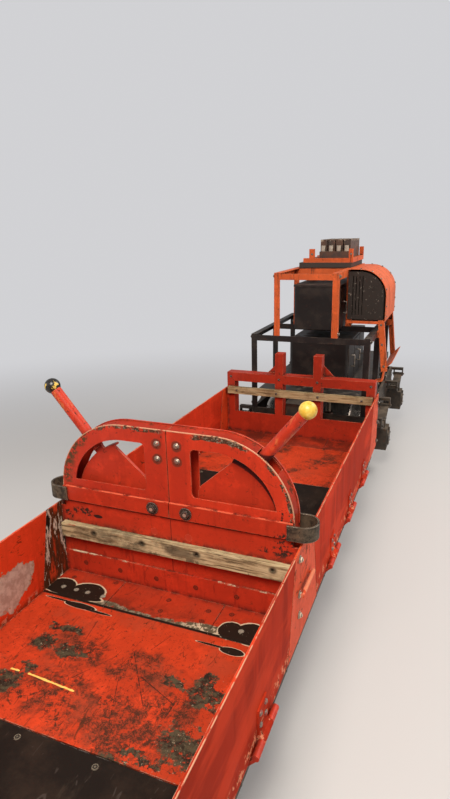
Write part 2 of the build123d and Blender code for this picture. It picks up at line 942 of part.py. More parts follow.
for end, turn in (("a", 0), ("b", 180)):
    for number, place in enumerate(axle_places, start=1):
        placed = Pos(0, place, axle_height) * wheelset.part
        save(placed.rotate(Axis.Z, turn), f"wheelset_{end}{number}")

# Truck frame: plate side frames with pedestals, end beams, and the bolster with its centre bearing
with BuildPart() as truck_frame:
    with BuildSketch(sideways(side_frame_inner)):
        with BuildLine():
            points = [(truck_inner, frame_top), (truck_inner, frame_top - end_beam_depth)]
            for place in axle_places:
                points += [
                    (place - pedestal_half_width, frame_waist),
                    (place - pedestal_half_width, pedestal_low),
                    (place - box_half_width - horn_clearance, pedestal_low),
                    (place - box_half_width - horn_clearance, axle_height + box_half_height + horn_clearance),
                    (place + box_half_width + horn_clearance, axle_height + box_half_height + horn_clearance),
                    (place + box_half_width + horn_clearance, pedestal_low),
                    (place + pedestal_half_width, pedestal_low),
                    (place + pedestal_half_width, frame_waist),
                ]
            points += [(truck_outer, frame_top - end_beam_depth), (truck_outer, frame_top)]
            Polyline(*points, close=True)
        make_face()
    extrude(amount=side_frame_thickness)
    beam_z_span = (frame_top - end_beam_depth, frame_top)
    block((0, side_frame_inner), (truck_inner, truck_inner + end_beam_thickness), beam_z_span)
    block((0, side_frame_inner), (truck_outer - end_beam_thickness, truck_outer), beam_z_span)
    bolster_y = (pivot_distance - bolster_half_length, pivot_distance + bolster_half_length)
    block((0, side_frame_inner), bolster_y, (bolster_low, bolster_top))
    with BuildSketch(Plane.XY.offset(corner_gusset_low)):
        for y, side in ((truck_inner + end_beam_thickness, 1), (truck_outer - end_beam_thickness, -1)):
            with BuildLine():
                Polyline(
                    (side_frame_inner, y),
                    (side_frame_inner - corner_gusset, y),
                    (side_frame_inner, y + side * corner_gusset),
                    close=True,
                )
            make_face()
    extrude(amount=corner_gusset_thickness)
    mirror(about=Plane.YZ)
    with Locations((0, pivot_distance, (bolster_top + pad_top) / 2)):
        Cylinder(centre_plate_radius, pad_top - bolster_top)
    pin_top = neck_top + deck_gap / 2
    with Locations((0, pivot_distance, (bolster_top + pin_top) / 2)):
        Cylinder(king_pin_radius, pin_top - bolster_top)
both_ends(truck_frame.part, "truck_frame")

# Running gear: axleboxes on the journals, and leaf springs in buckles, hung from the frame by shackles


def leaf_section(place, half, level):
    """One leaf, seen from the side: a flat arc of even thickness that rises towards both ends."""
    rise = leaf_rise * (half / leaf_half_length) ** 2
    with BuildSketch(sideways(spring_x - leaf_width / 2)) as section:
        with BuildLine():
            ends = []
            for z in (level, level + leaf_thickness):
                ends.append(ThreePointArc((place - half, z + rise), (place, z), (place + half, z + rise)))
            Line(ends[0] @ 0, ends[1] @ 0)
            Line(ends[0] @ 1, ends[1] @ 1)
        make_face()
    return section.sketch


leaf_span = (spring_x - leaf_width / 2, spring_x + leaf_width / 2)

with BuildPart() as running_gear:
    for place in axle_places:
        sides = (place - box_half_width, place + box_half_width)
        block((box_inner, box_outer), sides, (axle_height - box_half_height, axle_height + box_half_height))
        bore = journal_end - box_inner
        rod(box_inner + bore / 2, place, axle_height, journal_radius + bearing_gap, bore, "X", Mode.SUBTRACT)
        cover_x = box_outer + box_cover_thickness / 2
        rod(cover_x, place, axle_height, box_cover_radius, box_cover_thickness, "X")
        rib = (place - box_rib / 2, place + box_rib / 2)
        rib_z = (axle_height + box_cover_radius - box_rib, axle_height + box_half_height)
        block((box_outer, box_outer + box_rib), rib, rib_z)
        spring_low = axle_height + box_half_height
        spring_top = spring_low + leaf_count * leaf_thickness
        for leaf in range(leaf_count):
            level = spring_low + (leaf_count - 1 - leaf) * leaf_thickness
            extrude(leaf_section(place, leaf_half_length - leaf * leaf_step, level), amount=leaf_width)
        buckle = (place - buckle_half_length, place + buckle_half_length)
        buckle_x = (leaf_span[0] - buckle_wall, leaf_span[1] + buckle_wall)
        block(buckle_x, buckle, (spring_low, spring_top + buckle_wall))
        for side in (-1, 1):
            eye_y = place + side * leaf_half_length
            eye_z = spring_top + leaf_rise
            rod(spring_x, eye_y, eye_z, eye_radius, leaf_width, "X")
            rod(spring_x, eye_y, eye_z, eye_pin_radius, leaf_width + 4 * shackle_thickness, "X")
            reach = (eye_y - shackle_half_width, eye_y + shackle_half_width)
            for x in (leaf_span[0] - shackle_thickness, leaf_span[1]):
                block((x, x + shackle_thickness), reach, (eye_z - shackle_half_width, frame_top))
            arm = (side_frame_inner + side_frame_thickness, leaf_span[1])
            block(arm, reach, (frame_top - shackle_bracket, frame_top))
    mirror(about=Plane.YZ)
both_ends(running_gear.part, "running_gear")

# Brake gear: a curved shoe outside each wheel, its hanger, and the beam that joins the pair
shoe_inner = wheel_radius + shoe_gap
shoe_outer = shoe_inner + shoe_thickness
shoe_x = wheel_back + flange_thickness + shoe_flange_gap
shoe_middle = (shoe_x + wheel_face) / 2

with BuildPart() as brake_gear:
    for place, side in zip(axle_places, (-1, 1)):
        with BuildSketch(sideways(shoe_x)):
            with Locations((place, axle_height)):
                Circle(shoe_outer)
                Circle(shoe_inner, mode=Mode.SUBTRACT)
            with BuildLine():
                reach = 2 * shoe_outer
                rise = reach * sin(radians(shoe_half_angle))
                Polyline(
                    (place, axle_height),
                    (place + side * reach, axle_height + rise),
                    (place + side * reach, axle_height - rise),
                    close=True,
                )
            make_face(mode=Mode.INTERSECT)
        extrude(amount=wheel_face - shoe_x)
        back = place + side * (shoe_outer - shoe_seat)
        hanger_y = sorted((back, back - side * end_beam_thickness))
        hanger_x = (shoe_middle - hanger_thickness / 2, shoe_middle + hanger_thickness / 2)
        block(hanger_x, hanger_y, (axle_height, frame_top - end_beam_depth))
        beam_y = sorted((back, back + side * brake_beam_depth))
        beam_reach = (axle_height - brake_beam_height / 2, axle_height + brake_beam_height / 2)
        block((0, wheel_face), beam_y, beam_reach)
    mirror(about=Plane.YZ)
    cylinder_y = truck_outer - end_beam_thickness - brake_cylinder_length / 2
    rod(0, cylinder_y, brake_cylinder_z, brake_cylinder_radius, brake_cylinder_length)
both_ends(brake_gear.part, "brake_gear")

# Motor: a drum across the truck, its nose on the bolster, and arms round the driven axle
motor_y = axle_places[1] - motor_axle_distance
motor_z = axle_height + motor_rise

with BuildPart() as motor:
    rod(0, motor_y, motor_z, motor_radius, 2 * motor_half_width, "X")
    chamfer(motor.edges().filter_by(GeomType.CIRCLE), motor_edge)
    for x in motor_rib_places:
        rod(x, motor_y, motor_z, motor_radius + motor_rib, motor_rib_width, "X")
    rod(0, motor_y, motor_z, end_cover_radius, 2 * (motor_half_width + end_cover_thickness), "X")
    with BuildSketch(sideways(gear_case_start)):
        with Locations((axle_places[1], axle_height)):
            Circle(gear_case_radius)
        with Locations((motor_y, motor_z)):
            Circle(pinion_case_radius)
        make_hull()
        with Locations((axle_places[1], axle_height)):
            Circle(axle_radius + axle_arm_gap, mode=Mode.SUBTRACT)
    extrude(amount=gear_case_end - gear_case_start)
    nose = (pivot_distance + bolster_half_length, motor_y)
    block((-nose_half_width, nose_half_width), nose, (nose_low, nose_low + nose_height))
    for x in (-axle_arm_x, axle_arm_x):
        with BuildSketch(sideways(x - axle_arm_width / 2)):
            arm_radius = axle_radius + axle_arm_gap + axle_arm_wall
            with Locations((axle_places[1], axle_height)):
                Circle(arm_radius)
            with BuildLine():
                Polyline(
                    (motor_y, motor_z + arm_radius),
                    (axle_places[1], axle_height + arm_radius),
                    (axle_places[1], axle_height - arm_radius),
                    (motor_y, motor_z - arm_radius),
                    close=True,
                )
            make_face()
            with Locations((axle_places[1], axle_height)):
                Circle(axle_radius + axle_arm_gap, mode=Mode.SUBTRACT)
        extrude(amount=axle_arm_width)
both_ends(motor.part, "motor")

# Equipment frames: angle posts and rails, a wide black frame below and a narrow one on top of it
deck_z = neck_top + deck_gap
frame_side = side_frame_inner + side_frame_thickness
post_pitch = (frame_length - post_section) / (post_count - 1)
post_places = [truck_inner + post_pitch * n for n in range(post_count)]
frame_end = truck_inner + frame_length


def angle_post(x, side, y, low, high):
    """Angle-iron post: one leg along the car at x, the other across it towards the middle."""
    block(sorted((x, x - side * post_wall)), (y, y + post_section), (low, high))
    block(sorted((x, x - side * post_section)), (y, y + post_wall), (low, high))


def angle_rail(x, side, length, top):
    """Angle-iron rail along the car: an upright leg at x and a flat leg on top, towards the middle."""
    block(sorted((x, x - side * post_wall)), length, (top - rail_height, top))
    block(sorted((x, x - side * post_section)), length, (top - post_wall, top))


with BuildPart() as lower_frame:
    bearer_x = frame_side - post_section
    for side in (-1, 1):
        for y in post_places:
            angle_post(side * frame_side, side, y, frame_top, frame_mid - rail_height - seat_gap)
        angle_rail(side * frame_side, side, (truck_inner, frame_end), frame_mid)
        angle_rail(side * (bearer_x - seat_gap), side, (truck_inner, truck_outer), deck_z - seat_gap)
    cross_x = frame_side - post_wall - seat_gap
    cross_top = frame_mid - post_wall - seat_gap
    for y in post_places:
        block((-cross_x, cross_x), (y, y + post_wall), (frame_mid - rail_height, cross_top))
    deck_half = bearer_x - seat_gap
    block((-deck_half, deck_half), (truck_inner, truck_outer), (deck_z, deck_z + deck_plate))
both_ends(lower_frame.part, "lower_frame")

with BuildPart() as upper_frame:
    for x, side in ((frame_high_left, -1), (frame_high_right, 1)):
        for y in post_places:
            angle_post(x, side, y, cross_top, frame_high - rail_height - seat_gap)
        angle_rail(x, side, (truck_inner, frame_end), frame_high)
    high_cross = (frame_high_left + post_wall + seat_gap, frame_high_right - post_wall - seat_gap)
    for y in post_places:
        block(high_cross, (y, y + post_wall), (frame_high - rail_height, frame_high - post_wall - seat_gap))
both_ends(upper_frame.part, "upper_frame")

# Hood: the arched cover over the resistors, and the struts, flared foot and brackets of its side shield
hood_y = pivot_distance - hood_start
hood_far = hood_y + hood_length
hood_top = frame_high + hood_sheet
hood_left = frame_high_right - hood_lap
arch_x = hood_outer - hood_radius
arch_z = hood_top - hood_radius


def arch_face(inset, left, low, y):
    """The arch's outline, moved inwards by inset, from a left edge on the frame down to a low edge."""
    with BuildSketch(facing(y)) as outline:
        with BuildLine():
            top = hood_top - inset
            right = hood_outer - inset
            Polyline((arch_x, top), (left, top), (left, low), (right, low), (right, arch_z))
            CenterArc((arch_x, arch_z), hood_radius - inset, 0, 90)
        make_face()
    return outline.sketch


def plate_face(corners, y):
    """A plate seen from the front, in the plane at y, from its corners."""
    with BuildSketch(facing(y)) as outline:
        with BuildLine():
            Polyline(*corners, close=True)
        make_face()
    return outline.sketch


strut = (
    (strut_top_x, hood_low),
    (strut_top_x + strut_width, hood_low),
    (strut_foot_x + strut_width, strut_foot),
    (strut_foot_x, strut_foot),
)
strut_edge = (
    (strut_top_x + strut_width - strut_thickness, hood_low),
    (strut_top_x + strut_width, hood_low),
    (strut_foot_x + strut_width, strut_foot),
    (strut_foot_x + strut_width - strut_thickness, strut_foot),
)
foot = (
    (strut_foot_x, strut_foot),
    (shield_outer_x, strut_foot + shield_rise),
    (shield_outer_x, strut_foot + shield_rise - shield_depth),
    (strut_foot_x, strut_foot - shield_depth),
)

with BuildPart() as hood:
    extrude(arch_face(0, hood_left, hood_low, hood_far), amount=hood_length)
    extrude(arch_face(hood_sheet, hood_left, hood_low, hood_far), amount=hood_length, mode=Mode.SUBTRACT)
    block((strut_top_x, hood_outer), (hood_y, hood_far), (hood_low - strut_thickness, hood_low))
    for near, far in ((hood_y, hood_y + strut_leg), (hood_far - strut_leg, hood_far)):
        face_y = near + strut_thickness if near == hood_y else far
        extrude(plate_face(strut, face_y), amount=strut_thickness)
        extrude(plate_face(strut_edge, far), amount=strut_leg)
        block((frame_side, strut_top_x + strut_width), (near, far), (frame_mid - rail_height, frame_mid))
    extrude(plate_face(foot, hood_far), amount=hood_length)
    with BuildSketch(facing(hood_y + bracket_length)):
        with BuildLine():
            Polyline(*bracket_line)
        trace(line_width=bracket_band)
    extrude(amount=bracket_length)
    sill = (hood_low - sill_height, hood_low - strut_thickness)
    for y in (hood_y, hood_far - strut_thickness):
        block((frame_high_right, strut_top_x + strut_thickness), (y, y + strut_thickness), sill)
both_ends(hood.part, "hood")

# Resistors: a row of slotted grid plates on rods, filling the arch
grid_left = frame_high_right + seat_gap
grid_count = int((hood_length - 2 * resistor_inset) / resistor_pitch)
grid_top = hood_top - resistor_inset - resistor_frame

with BuildPart() as resistors:
    for number in range(grid_count):
        y = hood_y + resistor_inset + resistor_plate + number * resistor_pitch
        extrude(arch_face(resistor_inset, grid_left, hood_low, y), amount=resistor_plate)
    slot_x = grid_left + resistor_frame
    while slot_x < arch_x + resistor_frame:
        slot_low = hood_low + resistor_frame
        block((slot_x, slot_x + resistor_slot), (hood_y, hood_far), (slot_low, grid_top), mode=Mode.SUBTRACT)
        slot_x += resistor_slot_pitch
    length = y - hood_y - resistor_inset / 2
    for dx, dz in resistor_rods:
        rod(arch_x + dx, hood_y + resistor_inset / 2 + length / 2, arch_z + dz, resistor_rod_radius, length)
both_ends(resistors.part, "resistors")

# Switchgear: a board on the upper frame, an orange cradle on it, and a row of open arc chutes
switch_y = (switch_start, switch_start + switch_length)
board_top = frame_high + board_height
cradle_top = board_top + cradle_height
chute_low = cradle_top + chute_base
chute_top = chute_low + chute_height
chute_width = (chute_x[1] - chute_x[0] - (chute_count - 1) * chute_gap) / chute_count

with BuildPart() as switch_cradle:
    for y in (switch_y[0], switch_y[1] - cradle_height):
        block(cradle_x, (y, y + cradle_height), (board_top, cradle_top))
    for span in cheek_spans:
        block(span, switch_y, (board_top, cradle_top))
        for y in (switch_y[0], switch_y[1] - cheek_thickness):
            block(span, (y, y + cheek_thickness), (cradle_top, cradle_top + cheek_height))
both_ends(switch_cradle.part, "switch_cradle")

with BuildPart() as switchgear:
    block(board_x, switch_y, (frame_high, board_top))
    inner_y = (switch_y[0] + cradle_height + seat_gap, switch_y[1] - cradle_height - seat_gap)
    block(chute_x, inner_y, (board_top, chute_low))
    for number in range(chute_count):
        x = chute_x[0] + number * (chute_width + chute_gap)
        chute_y = (inner_y[0] + chute_front, inner_y[1])
        block((x, x + chute_width), chute_y, (chute_low, chute_top))
        well_x = (x + chute_wall, x + chute_width - chute_wall)
        well_y = (chute_y[0] + chute_wall, chute_y[1] - chute_wall)
        block(well_x, well_y, (chute_top - chute_well, chute_top), mode=Mode.SUBTRACT)
        stand_x = x + chute_width / 2
        stand_y = inner_y[0] + insulator_radius
        stand_z = chute_low + insulator_height / 2
        rod(stand_x, stand_y, stand_z, insulator_radius, insulator_height, "Z")
both_ends(switchgear.part, "switchgear")

# Control cases with lids and doors: a wide one on the deck, a narrow one in the upper frame
case_y = pivot_distance - bolster_half_length
upper_case_x = (frame_high_left + frame_high_right) / 2
upper_case_width = frame_high_right - frame_high_left - 2 * post_section - 2 * case_lip
case_rows = ((deck_z + deck_plate, 0, case_width), (cross_top, upper_case_x, upper_case_width))

with BuildPart() as control_case:
    for level, x, width in case_rows:
        body_width = width - 2 * case_lip
        with BuildSketch(Plane.XY.offset(level)):
            with Locations((x, case_y)):
                RectangleRounded(body_width, case_length, case_corner)
        extrude(amount=case_height)
        with BuildSketch(Plane.XY.offset(level + case_height)):
            with Locations((x, case_y)):
                RectangleRounded(width, case_length + 2 * case_lip, case_corner)
        extrude(amount=case_lid)
        door_pitch = (case_length - 2 * case_corner) / case_doors
        for number in range(case_doors):
            y = case_y - case_length / 2 + case_corner + number * door_pitch
            door_y = (y + case_lip, y + door_pitch - case_lip)
            door_x = (x - body_width / 2 - case_door, x + body_width / 2 + case_door)
            block(door_x, door_y, (level + case_lid, level + case_height - case_lid))
both_ends(control_case.part, "control_case")

# Coupler: plate and drawbar on the end beam, with a vertical pin hole, and the buffer head on its neck
with BuildPart() as coupler:
    drawbar_z = (coupler_height - drawbar_half_height, coupler_height + drawbar_half_height)
    drawbar_x = (-drawbar_half_width, drawbar_half_width)
    neck_y = half_length - buffer_face
    block(drawbar_x, (truck_outer, neck_y), drawbar_z)
    plate_x = (-draw_plate_half_width, draw_plate_half_width)
    plate_z = (frame_top - end_beam_depth, coupler_height + 2 * drawbar_half_height)
    block(plate_x, (truck_outer, truck_outer + draw_plate_thickness), plate_z)
    rod(0, neck_y - buffer_neck_length / 2, coupler_height, buffer_neck_radius, buffer_neck_length)
    rod(0, half_length - buffer_face / 2, coupler_height, buffer_radius, buffer_face)
    pin_y = half_length - coupler_pin_setback
    rod(0, pin_y, coupler_height, coupler_pin_radius, 3 * drawbar_half_height, "Z", Mode.SUBTRACT)
both_ends(coupler.part, "coupler")

# Current collector: a shoe with turned-up ends for the centre rail, on an insulated stem under the bolster
with BuildPart() as collector:
    collector_y = pivot_distance - collector_setback
    shoe_top = collector_height + collector_thickness
    rod(0, collector_y, (shoe_top + bolster_low) / 2, collector_stem_radius, bolster_low - shoe_top, "Z")
    for level in collector_disc_levels:
        rod(0, collector_y, level, collector_disc_radius, collector_disc_height, "Z")
    start = collector_y - collector_half_length
    end = collector_y + collector_half_length
    with BuildSketch(sideways(-collector_half_width)):
        with BuildLine():
            Polyline(
                (start, shoe_top),
                (start, shoe_top - collector_thickness / 2),
                (start + collector_ramp, collector_height),
                (end - collector_ramp, collector_height),
                (end, shoe_top - collector_thickness / 2),
                (end, shoe_top),
                close=True,
            )
        make_face()
    extrude(amount=2 * collector_half_width)
both_ends(collector.part, "collector")
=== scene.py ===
import math
from functools import cached_property
from itertools import product

import bpy
from mathutils import Matrix, Vector


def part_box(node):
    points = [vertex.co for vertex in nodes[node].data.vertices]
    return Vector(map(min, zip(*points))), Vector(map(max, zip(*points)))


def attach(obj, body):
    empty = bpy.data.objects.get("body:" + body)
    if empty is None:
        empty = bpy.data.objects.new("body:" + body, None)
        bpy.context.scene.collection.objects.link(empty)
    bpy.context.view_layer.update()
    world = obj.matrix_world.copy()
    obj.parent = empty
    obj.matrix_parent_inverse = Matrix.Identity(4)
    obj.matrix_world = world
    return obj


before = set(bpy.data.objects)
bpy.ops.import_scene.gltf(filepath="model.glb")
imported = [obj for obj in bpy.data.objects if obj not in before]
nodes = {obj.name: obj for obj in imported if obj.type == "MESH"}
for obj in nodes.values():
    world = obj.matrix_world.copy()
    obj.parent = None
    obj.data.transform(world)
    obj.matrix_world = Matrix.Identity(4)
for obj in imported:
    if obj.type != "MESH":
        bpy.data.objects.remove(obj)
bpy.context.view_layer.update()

# Ends and sides of the car, and the way that each lies
ENDS = (("a", 1), ("b", -1))
SIDES = (("right", 1), ("left", -1))


def middle_of(name):
    """The middle of a node's box."""
    low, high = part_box(name)
    return low.lerp(high, 0.5)


# Faces and places read from the frame
floor_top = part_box("floor_plates")[1].z
wall_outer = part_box("corner_plates")[1].x - 0.022
strap_face = wall_outer + 0.006
strip_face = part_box("divider_plates")[1].y + 0.006
solebar_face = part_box("solebars")[1].x
headstock_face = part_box("headstocks")[1].y
flap_middle = middle_of("flap_right_a").y
truck_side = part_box("truck_frame_a")[1].x
truck_start, truck_end = (corner.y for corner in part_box("truck_frame_a"))
truck_middle = (truck_start + truck_end) / 2
box_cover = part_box("running_gear_a")[1].x - 0.002
axle_places = [middle_of(name) for name in ("wheelset_a1", "wheelset_a2")]
deck_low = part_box("lower_frame_a")[0].z
post_left, post_right = (corner.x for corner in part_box("upper_frame_a"))
frame_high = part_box("upper_frame_a")[1].z
hood_start, hood_end = (corner.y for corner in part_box("hood_a"))
cradle_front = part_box("switch_cradle_a")[0].y

# Middles of the arcs of the divider's shoulders, and of the levers' sectors
SHOULDER_X, SHOULDER_Z = 0.200, 0.830
SECTOR_X, SECTOR_Z = 0.173, 0.773
SECTOR_RADIUS = 0.272

# The divider's beam and its bolts, its round bolts above, and the strip at its foot
BEAM_FOOT, BEAM_TOP = 0.775, 0.840
BEAM_BOLT_X, BEAM_BOLT_Z = 0.074, 0.805
DOME_BOLT_X, DOME_BOLTS_Z = 0.043, (1.018, 1.080)
STRIP_TOP = 0.525

# Where the plates beside the divider meet the bay floor, and where the flaps' faces and tops lie
SEAM_Y = 0.230
FLAP_INNER, FLAP_OUTER, FLAP_TOP = 0.533, 0.541, 0.755

# Holes in the divider's battens
BATTEN_HOLES_X, BATTEN_HOLE_Z = (-0.355, -0.123, 0.124, 0.436), 0.647

# Camera, from the photograph's vanishing lines
CAMERA_PLACE = Vector((0.982, -1.815, 1.863))
CAMERA_YAW = -22.44
CAMERA_TILT = 16.71
CAMERA_ROLL = 1.41
CAMERA_LENS = 25.33

# Brightness and colour of the world where the camera sees it, and its brightness elsewhere
SKY_SEEN, SKY_LIGHT = 0.66, 0.34
SKY_COLOUR = (0.97, 0.97, 1)

# Paint and dirt colours, as linear values. The grime colour is also laid in corners, grooves and gaps as
# painted shade
RED = (0.58, 0.042, 0.015)
DEEP_RED = (0.30, 0.020, 0.010)
FLOOR_RED = (0.56, 0.050, 0.014)
ORANGE = (0.72, 0.125, 0.030)
PALE_ORANGE = (0.72, 0.26, 0.14)
CREAM = (0.62, 0.50, 0.34)
RUST = (0.115, 0.042, 0.018)
GRIME_AND_SHADE = (0.020, 0.012, 0.008)
BARE_STEEL = (0.30, 0.27, 0.24)
OLIVE = (0.062, 0.048, 0.027)


def shade(colour, share):
    """The same colour, lighter or darker."""
    return tuple(min(1, part * share) for part in colour)


class Value:
    """A recipe for the output of one shader node. Its inputs are numbers, colours or other values."""

    def __init__(self, kind, inputs, output=0, **settings):
        self.kind = kind
        self.inputs = inputs
        self.output = output
        self.settings = settings

    def __add__(self, other):
        return arithmetic("ADD", self, other)

    def __sub__(self, other):
        return arithmetic("SUBTRACT", self, other)

    def __mul__(self, other):
        return arithmetic("MULTIPLY", self, other)

    def __abs__(self):
        return arithmetic("ABSOLUTE", self)

    def either(self, other):
        """The larger of the two."""
        return arithmetic("MAXIMUM", self, other)

    def step(self, low, high):
        """0 below low, 1 above high, smooth between them. With low above high it falls instead."""
        inputs = {"Value": self, "From Min": low, "From Max": high}
        return Value("MapRange", inputs, interpolation_type="SMOOTHSTEP")


def arithmetic(operation, first, second=0):
    return Value("Math", {0: first, 1: second}, operation=operation)


def vector(operation, first, second, output=0):
    return Value("VectorMath", {0: first, 1: second}, output, operation=operation)


def length(place):
    return Value("VectorMath", {0: place}, "Value", operation="LENGTH")


def mix(share, first, second):
    """A colour between two."""
    return Value("Mix", {0: share, 6: first, 7: second}, 2, data_type="RGBA")


# The place on the surface in the row frame, with its axes and some masks that several finishes use
PLACE = Value("TexCoord", {}, "Object")
X, Y, Z = (Value("SeparateXYZ", {0: PLACE}, name) for name in "XYZ")
NEAR = Y.step(0, -0.01)
AHEAD = Y.step(0, -0.02)

# 1 where the camera looks, and 0.3 where a reflection does
SEEN = Value("LightPath", {}, "Is Camera Ray").either(Value("LightPath", {}, "Is Glossy Ray") * 0.3)


def stretched(stretch=(1, 1, 1), turn=(0, 0, 0), shift=(0, 0, 0)):
    return Value("Mapping", {"Vector": PLACE, "Scale": stretch, "Rotation": turn, "Location": shift})


def noise(scale, detail=4, rough=0.6, place=PLACE, distortion=0):
    look = {"Scale": scale, "Detail": detail, "Roughness": rough, "Distortion": distortion}
    return Value("TexNoise", {"Vector": place, **look})


def spots(scale, cover, soft=0.04, detail=6, rough=0.65, distortion=0):
    """Ragged spots that cover about that share of the surface."""
    level = 0.5 + (0.5 - cover) * 0.42
    return noise(scale, detail, rough, PLACE, distortion).step(level, level + soft)


def scratches(scale, turn, width=0.010, thin=0.22, gate=0.58):
    """Fine wandering lines in about one direction, in short broken runs."""
    line = abs(noise(scale, 2, 0.5, stretched((1, thin, 1), turn, (scale, 0, 0))) - 0.5)
    runs = noise(scale * 0.7, 3, 0.65, stretched(shift=(0, scale, 0))).step(gate, gate + 0.04)
    return line.step(width, width * 0.3) * runs


def edges(radius, ragged, amount):
    """Worn edges: where the rounded normal leaves the true one, broken up by noise."""
    rounded = Value("Bevel", {"Radius": radius}, samples=4)
    true = Value("NewGeometry", {}, "True Normal")
    return vector("DOT_PRODUCT", rounded, true, "Value").step(0.995, 0.90) * spots(ragged, amount, 0.08)


def crevice(distance, low=0.55, high=0.95):
    """1 in corners and under overhangs, 0 in the open."""
    return Value("AmbientOcclusion", {"Distance": distance}, "AO", samples=6).step(high, low)


def upward(low=0.4, high=0.9):
    """1 on what faces up."""
    normal = Value("NewGeometry", {}, "Normal")
    return Value("SeparateXYZ", {0: normal}, "Z").step(low, high)


def between(value, low, high, soft=0.004):
    return value.step(low - soft, low + soft) * value.step(high + soft, high - soft)


def wander(scale, amount):
    """A value that strays either side of nothing, to make an outline ragged."""
    return (noise(scale, 5, 0.62) - 0.5) * (amount * 4)


def warped(scale, reach):
    """The place on the surface, pushed about by noise."""
    inputs = {"Vector": PLACE, "Scale": scale, "Detail": 6, "Roughness": 0.65}
    push = vector("SUBTRACT", Value("TexNoise", inputs, "Color"), (0.5, 0.5, 0.5))
    return vector("ADD", PLACE, vector("MULTIPLY", push, (reach, reach, reach)))


def blob(rows, ragged, scale, place=PLACE):
    """Distance value of a union of uneven ellipsoids: 1 on its outline, less inside."""
    nearest = 9
    for centre, radii in rows:
        scaled = vector("DIVIDE", vector("SUBTRACT", place, centre), radii)
        nearest = arithmetic("MINIMUM", length(scaled), nearest)
    return nearest + wander(scale, ragged)


def stroke(x, y, end_x, end_y):
    """Distance in metres from a line on the floor. Its ends are in millimetres."""
    start = Vector((x / 1000, y / 1000, floor_top))
    run = Vector((end_x / 1000, end_y / 1000, floor_top)) - start
    offset = vector("SUBTRACT", PLACE, tuple(start))
    along = vector("DOT_PRODUCT", offset, tuple(run / run.length_squared), "Value")
    held = Value("Clamp", {0: along})
    foot = Value("VectorMath", {0: tuple(run), "Scale": held}, operation="SCALE")
    return length(vector("SUBTRACT", offset, foot))


def from_axis(x, z):
    """Distance from the line along the car through that place, or through its mirror image."""
    return length(Value("CombineXYZ", {0: abs(X) - x, 2: Z - z}))


def from_shoulder():
    """Distance from the middle of a shoulder's arc, even along the divider's curved edge."""
    across = (abs(X) - SHOULDER_X).either(0)
    return length(Value("CombineXYZ", {0: across, 2: Z - SHOULDER_Z}))


class Tree:
    """The nodes of one material or world. Each value becomes a node once."""

    def __init__(self, owner):
        owner.use_nodes = True
        self.nodes = owner.node_tree.nodes
        self.links = owner.node_tree.links
        self.made = {}

    def socket(self, value):
        """The output of the node that the value stands for. What it reads is made before it,
        because Cycles works through the nodes in that order and runs out of room in another."""
        if value not in self.made:
            inputs = {
                key: self.socket(source) if isinstance(source, Value) else source
                for key, source in value.inputs.items()
            }
            node = self.nodes.new("ShaderNode" + value.kind)
            for name, setting in value.settings.items():
                setattr(node, name, setting)
            self.fill(node, inputs)
            self.made[value] = node.outputs[value.output]
        return self.made[value]

    def fill(self, node, inputs):
        """Sets a node's inputs from values, other nodes' outputs, numbers and colours."""
        for key, source in inputs.items():
            target = node.inputs[key]
            if isinstance(source, Value):
                self.links.new(self.socket(source), target)
            elif isinstance(source, bpy.types.NodeSocket):
                self.links.new(source, target)
            elif target.type == "RGBA":
                target.default_value = (*source, 1)
            else:
                target.default_value = source


class Finish:
    """The look of one material, built up in layers."""

    def __init__(self, name, colour, roughness, metallic=0, edge=0.0015, gloss=0.5):
        self.name = name
        self.colour = colour
        self.roughness = roughness
        self.metallic = metallic
        self.edge = edge
        self.gloss = gloss
        self.height = None

    def add(self, mask, colour, roughness=None, height=None, metallic=None):
        """Lays one more layer over what is there, as far as mask says. A height is in millimetres."""
        self.colour = mix(mask, self.colour, colour)
        if roughness is not None:
            self.roughness = Value("Mix", {0: mask, 2: self.roughness, 3: roughness})
        if metallic is not None:
            self.metallic = Value("Mix", {0: mask, 2: self.metallic, 3: metallic})
        if height is not None:
            self.raise_by(mask, height)

    def raise_by(self, value, height):
        """Raises the surface by that many millimetres where the value is 1."""
        lift = value * height
        self.height = self.height + lift if self.height else lift

    @cached_property
    def material(self):
        """The material with its nodes, made when it is first asked for."""
        normal = Value("Bevel", {"Radius": self.edge}, samples=4)
        if self.height:
            bump = {"Height": self.height, "Distance": 0.001, "Strength": 1, "Normal": normal}
            normal = Value("Bump", bump)
        inputs = {"Base Color": self.colour, "Roughness": self.roughness, "Metallic": self.metallic}
        material = bpy.data.materials.new(self.name)
        tree = Tree(material)
        shader = tree.nodes["Principled BSDF"]
        tree.fill(shader, {**inputs, "Specular IOR Level": self.gloss, "Normal": normal})
        return material


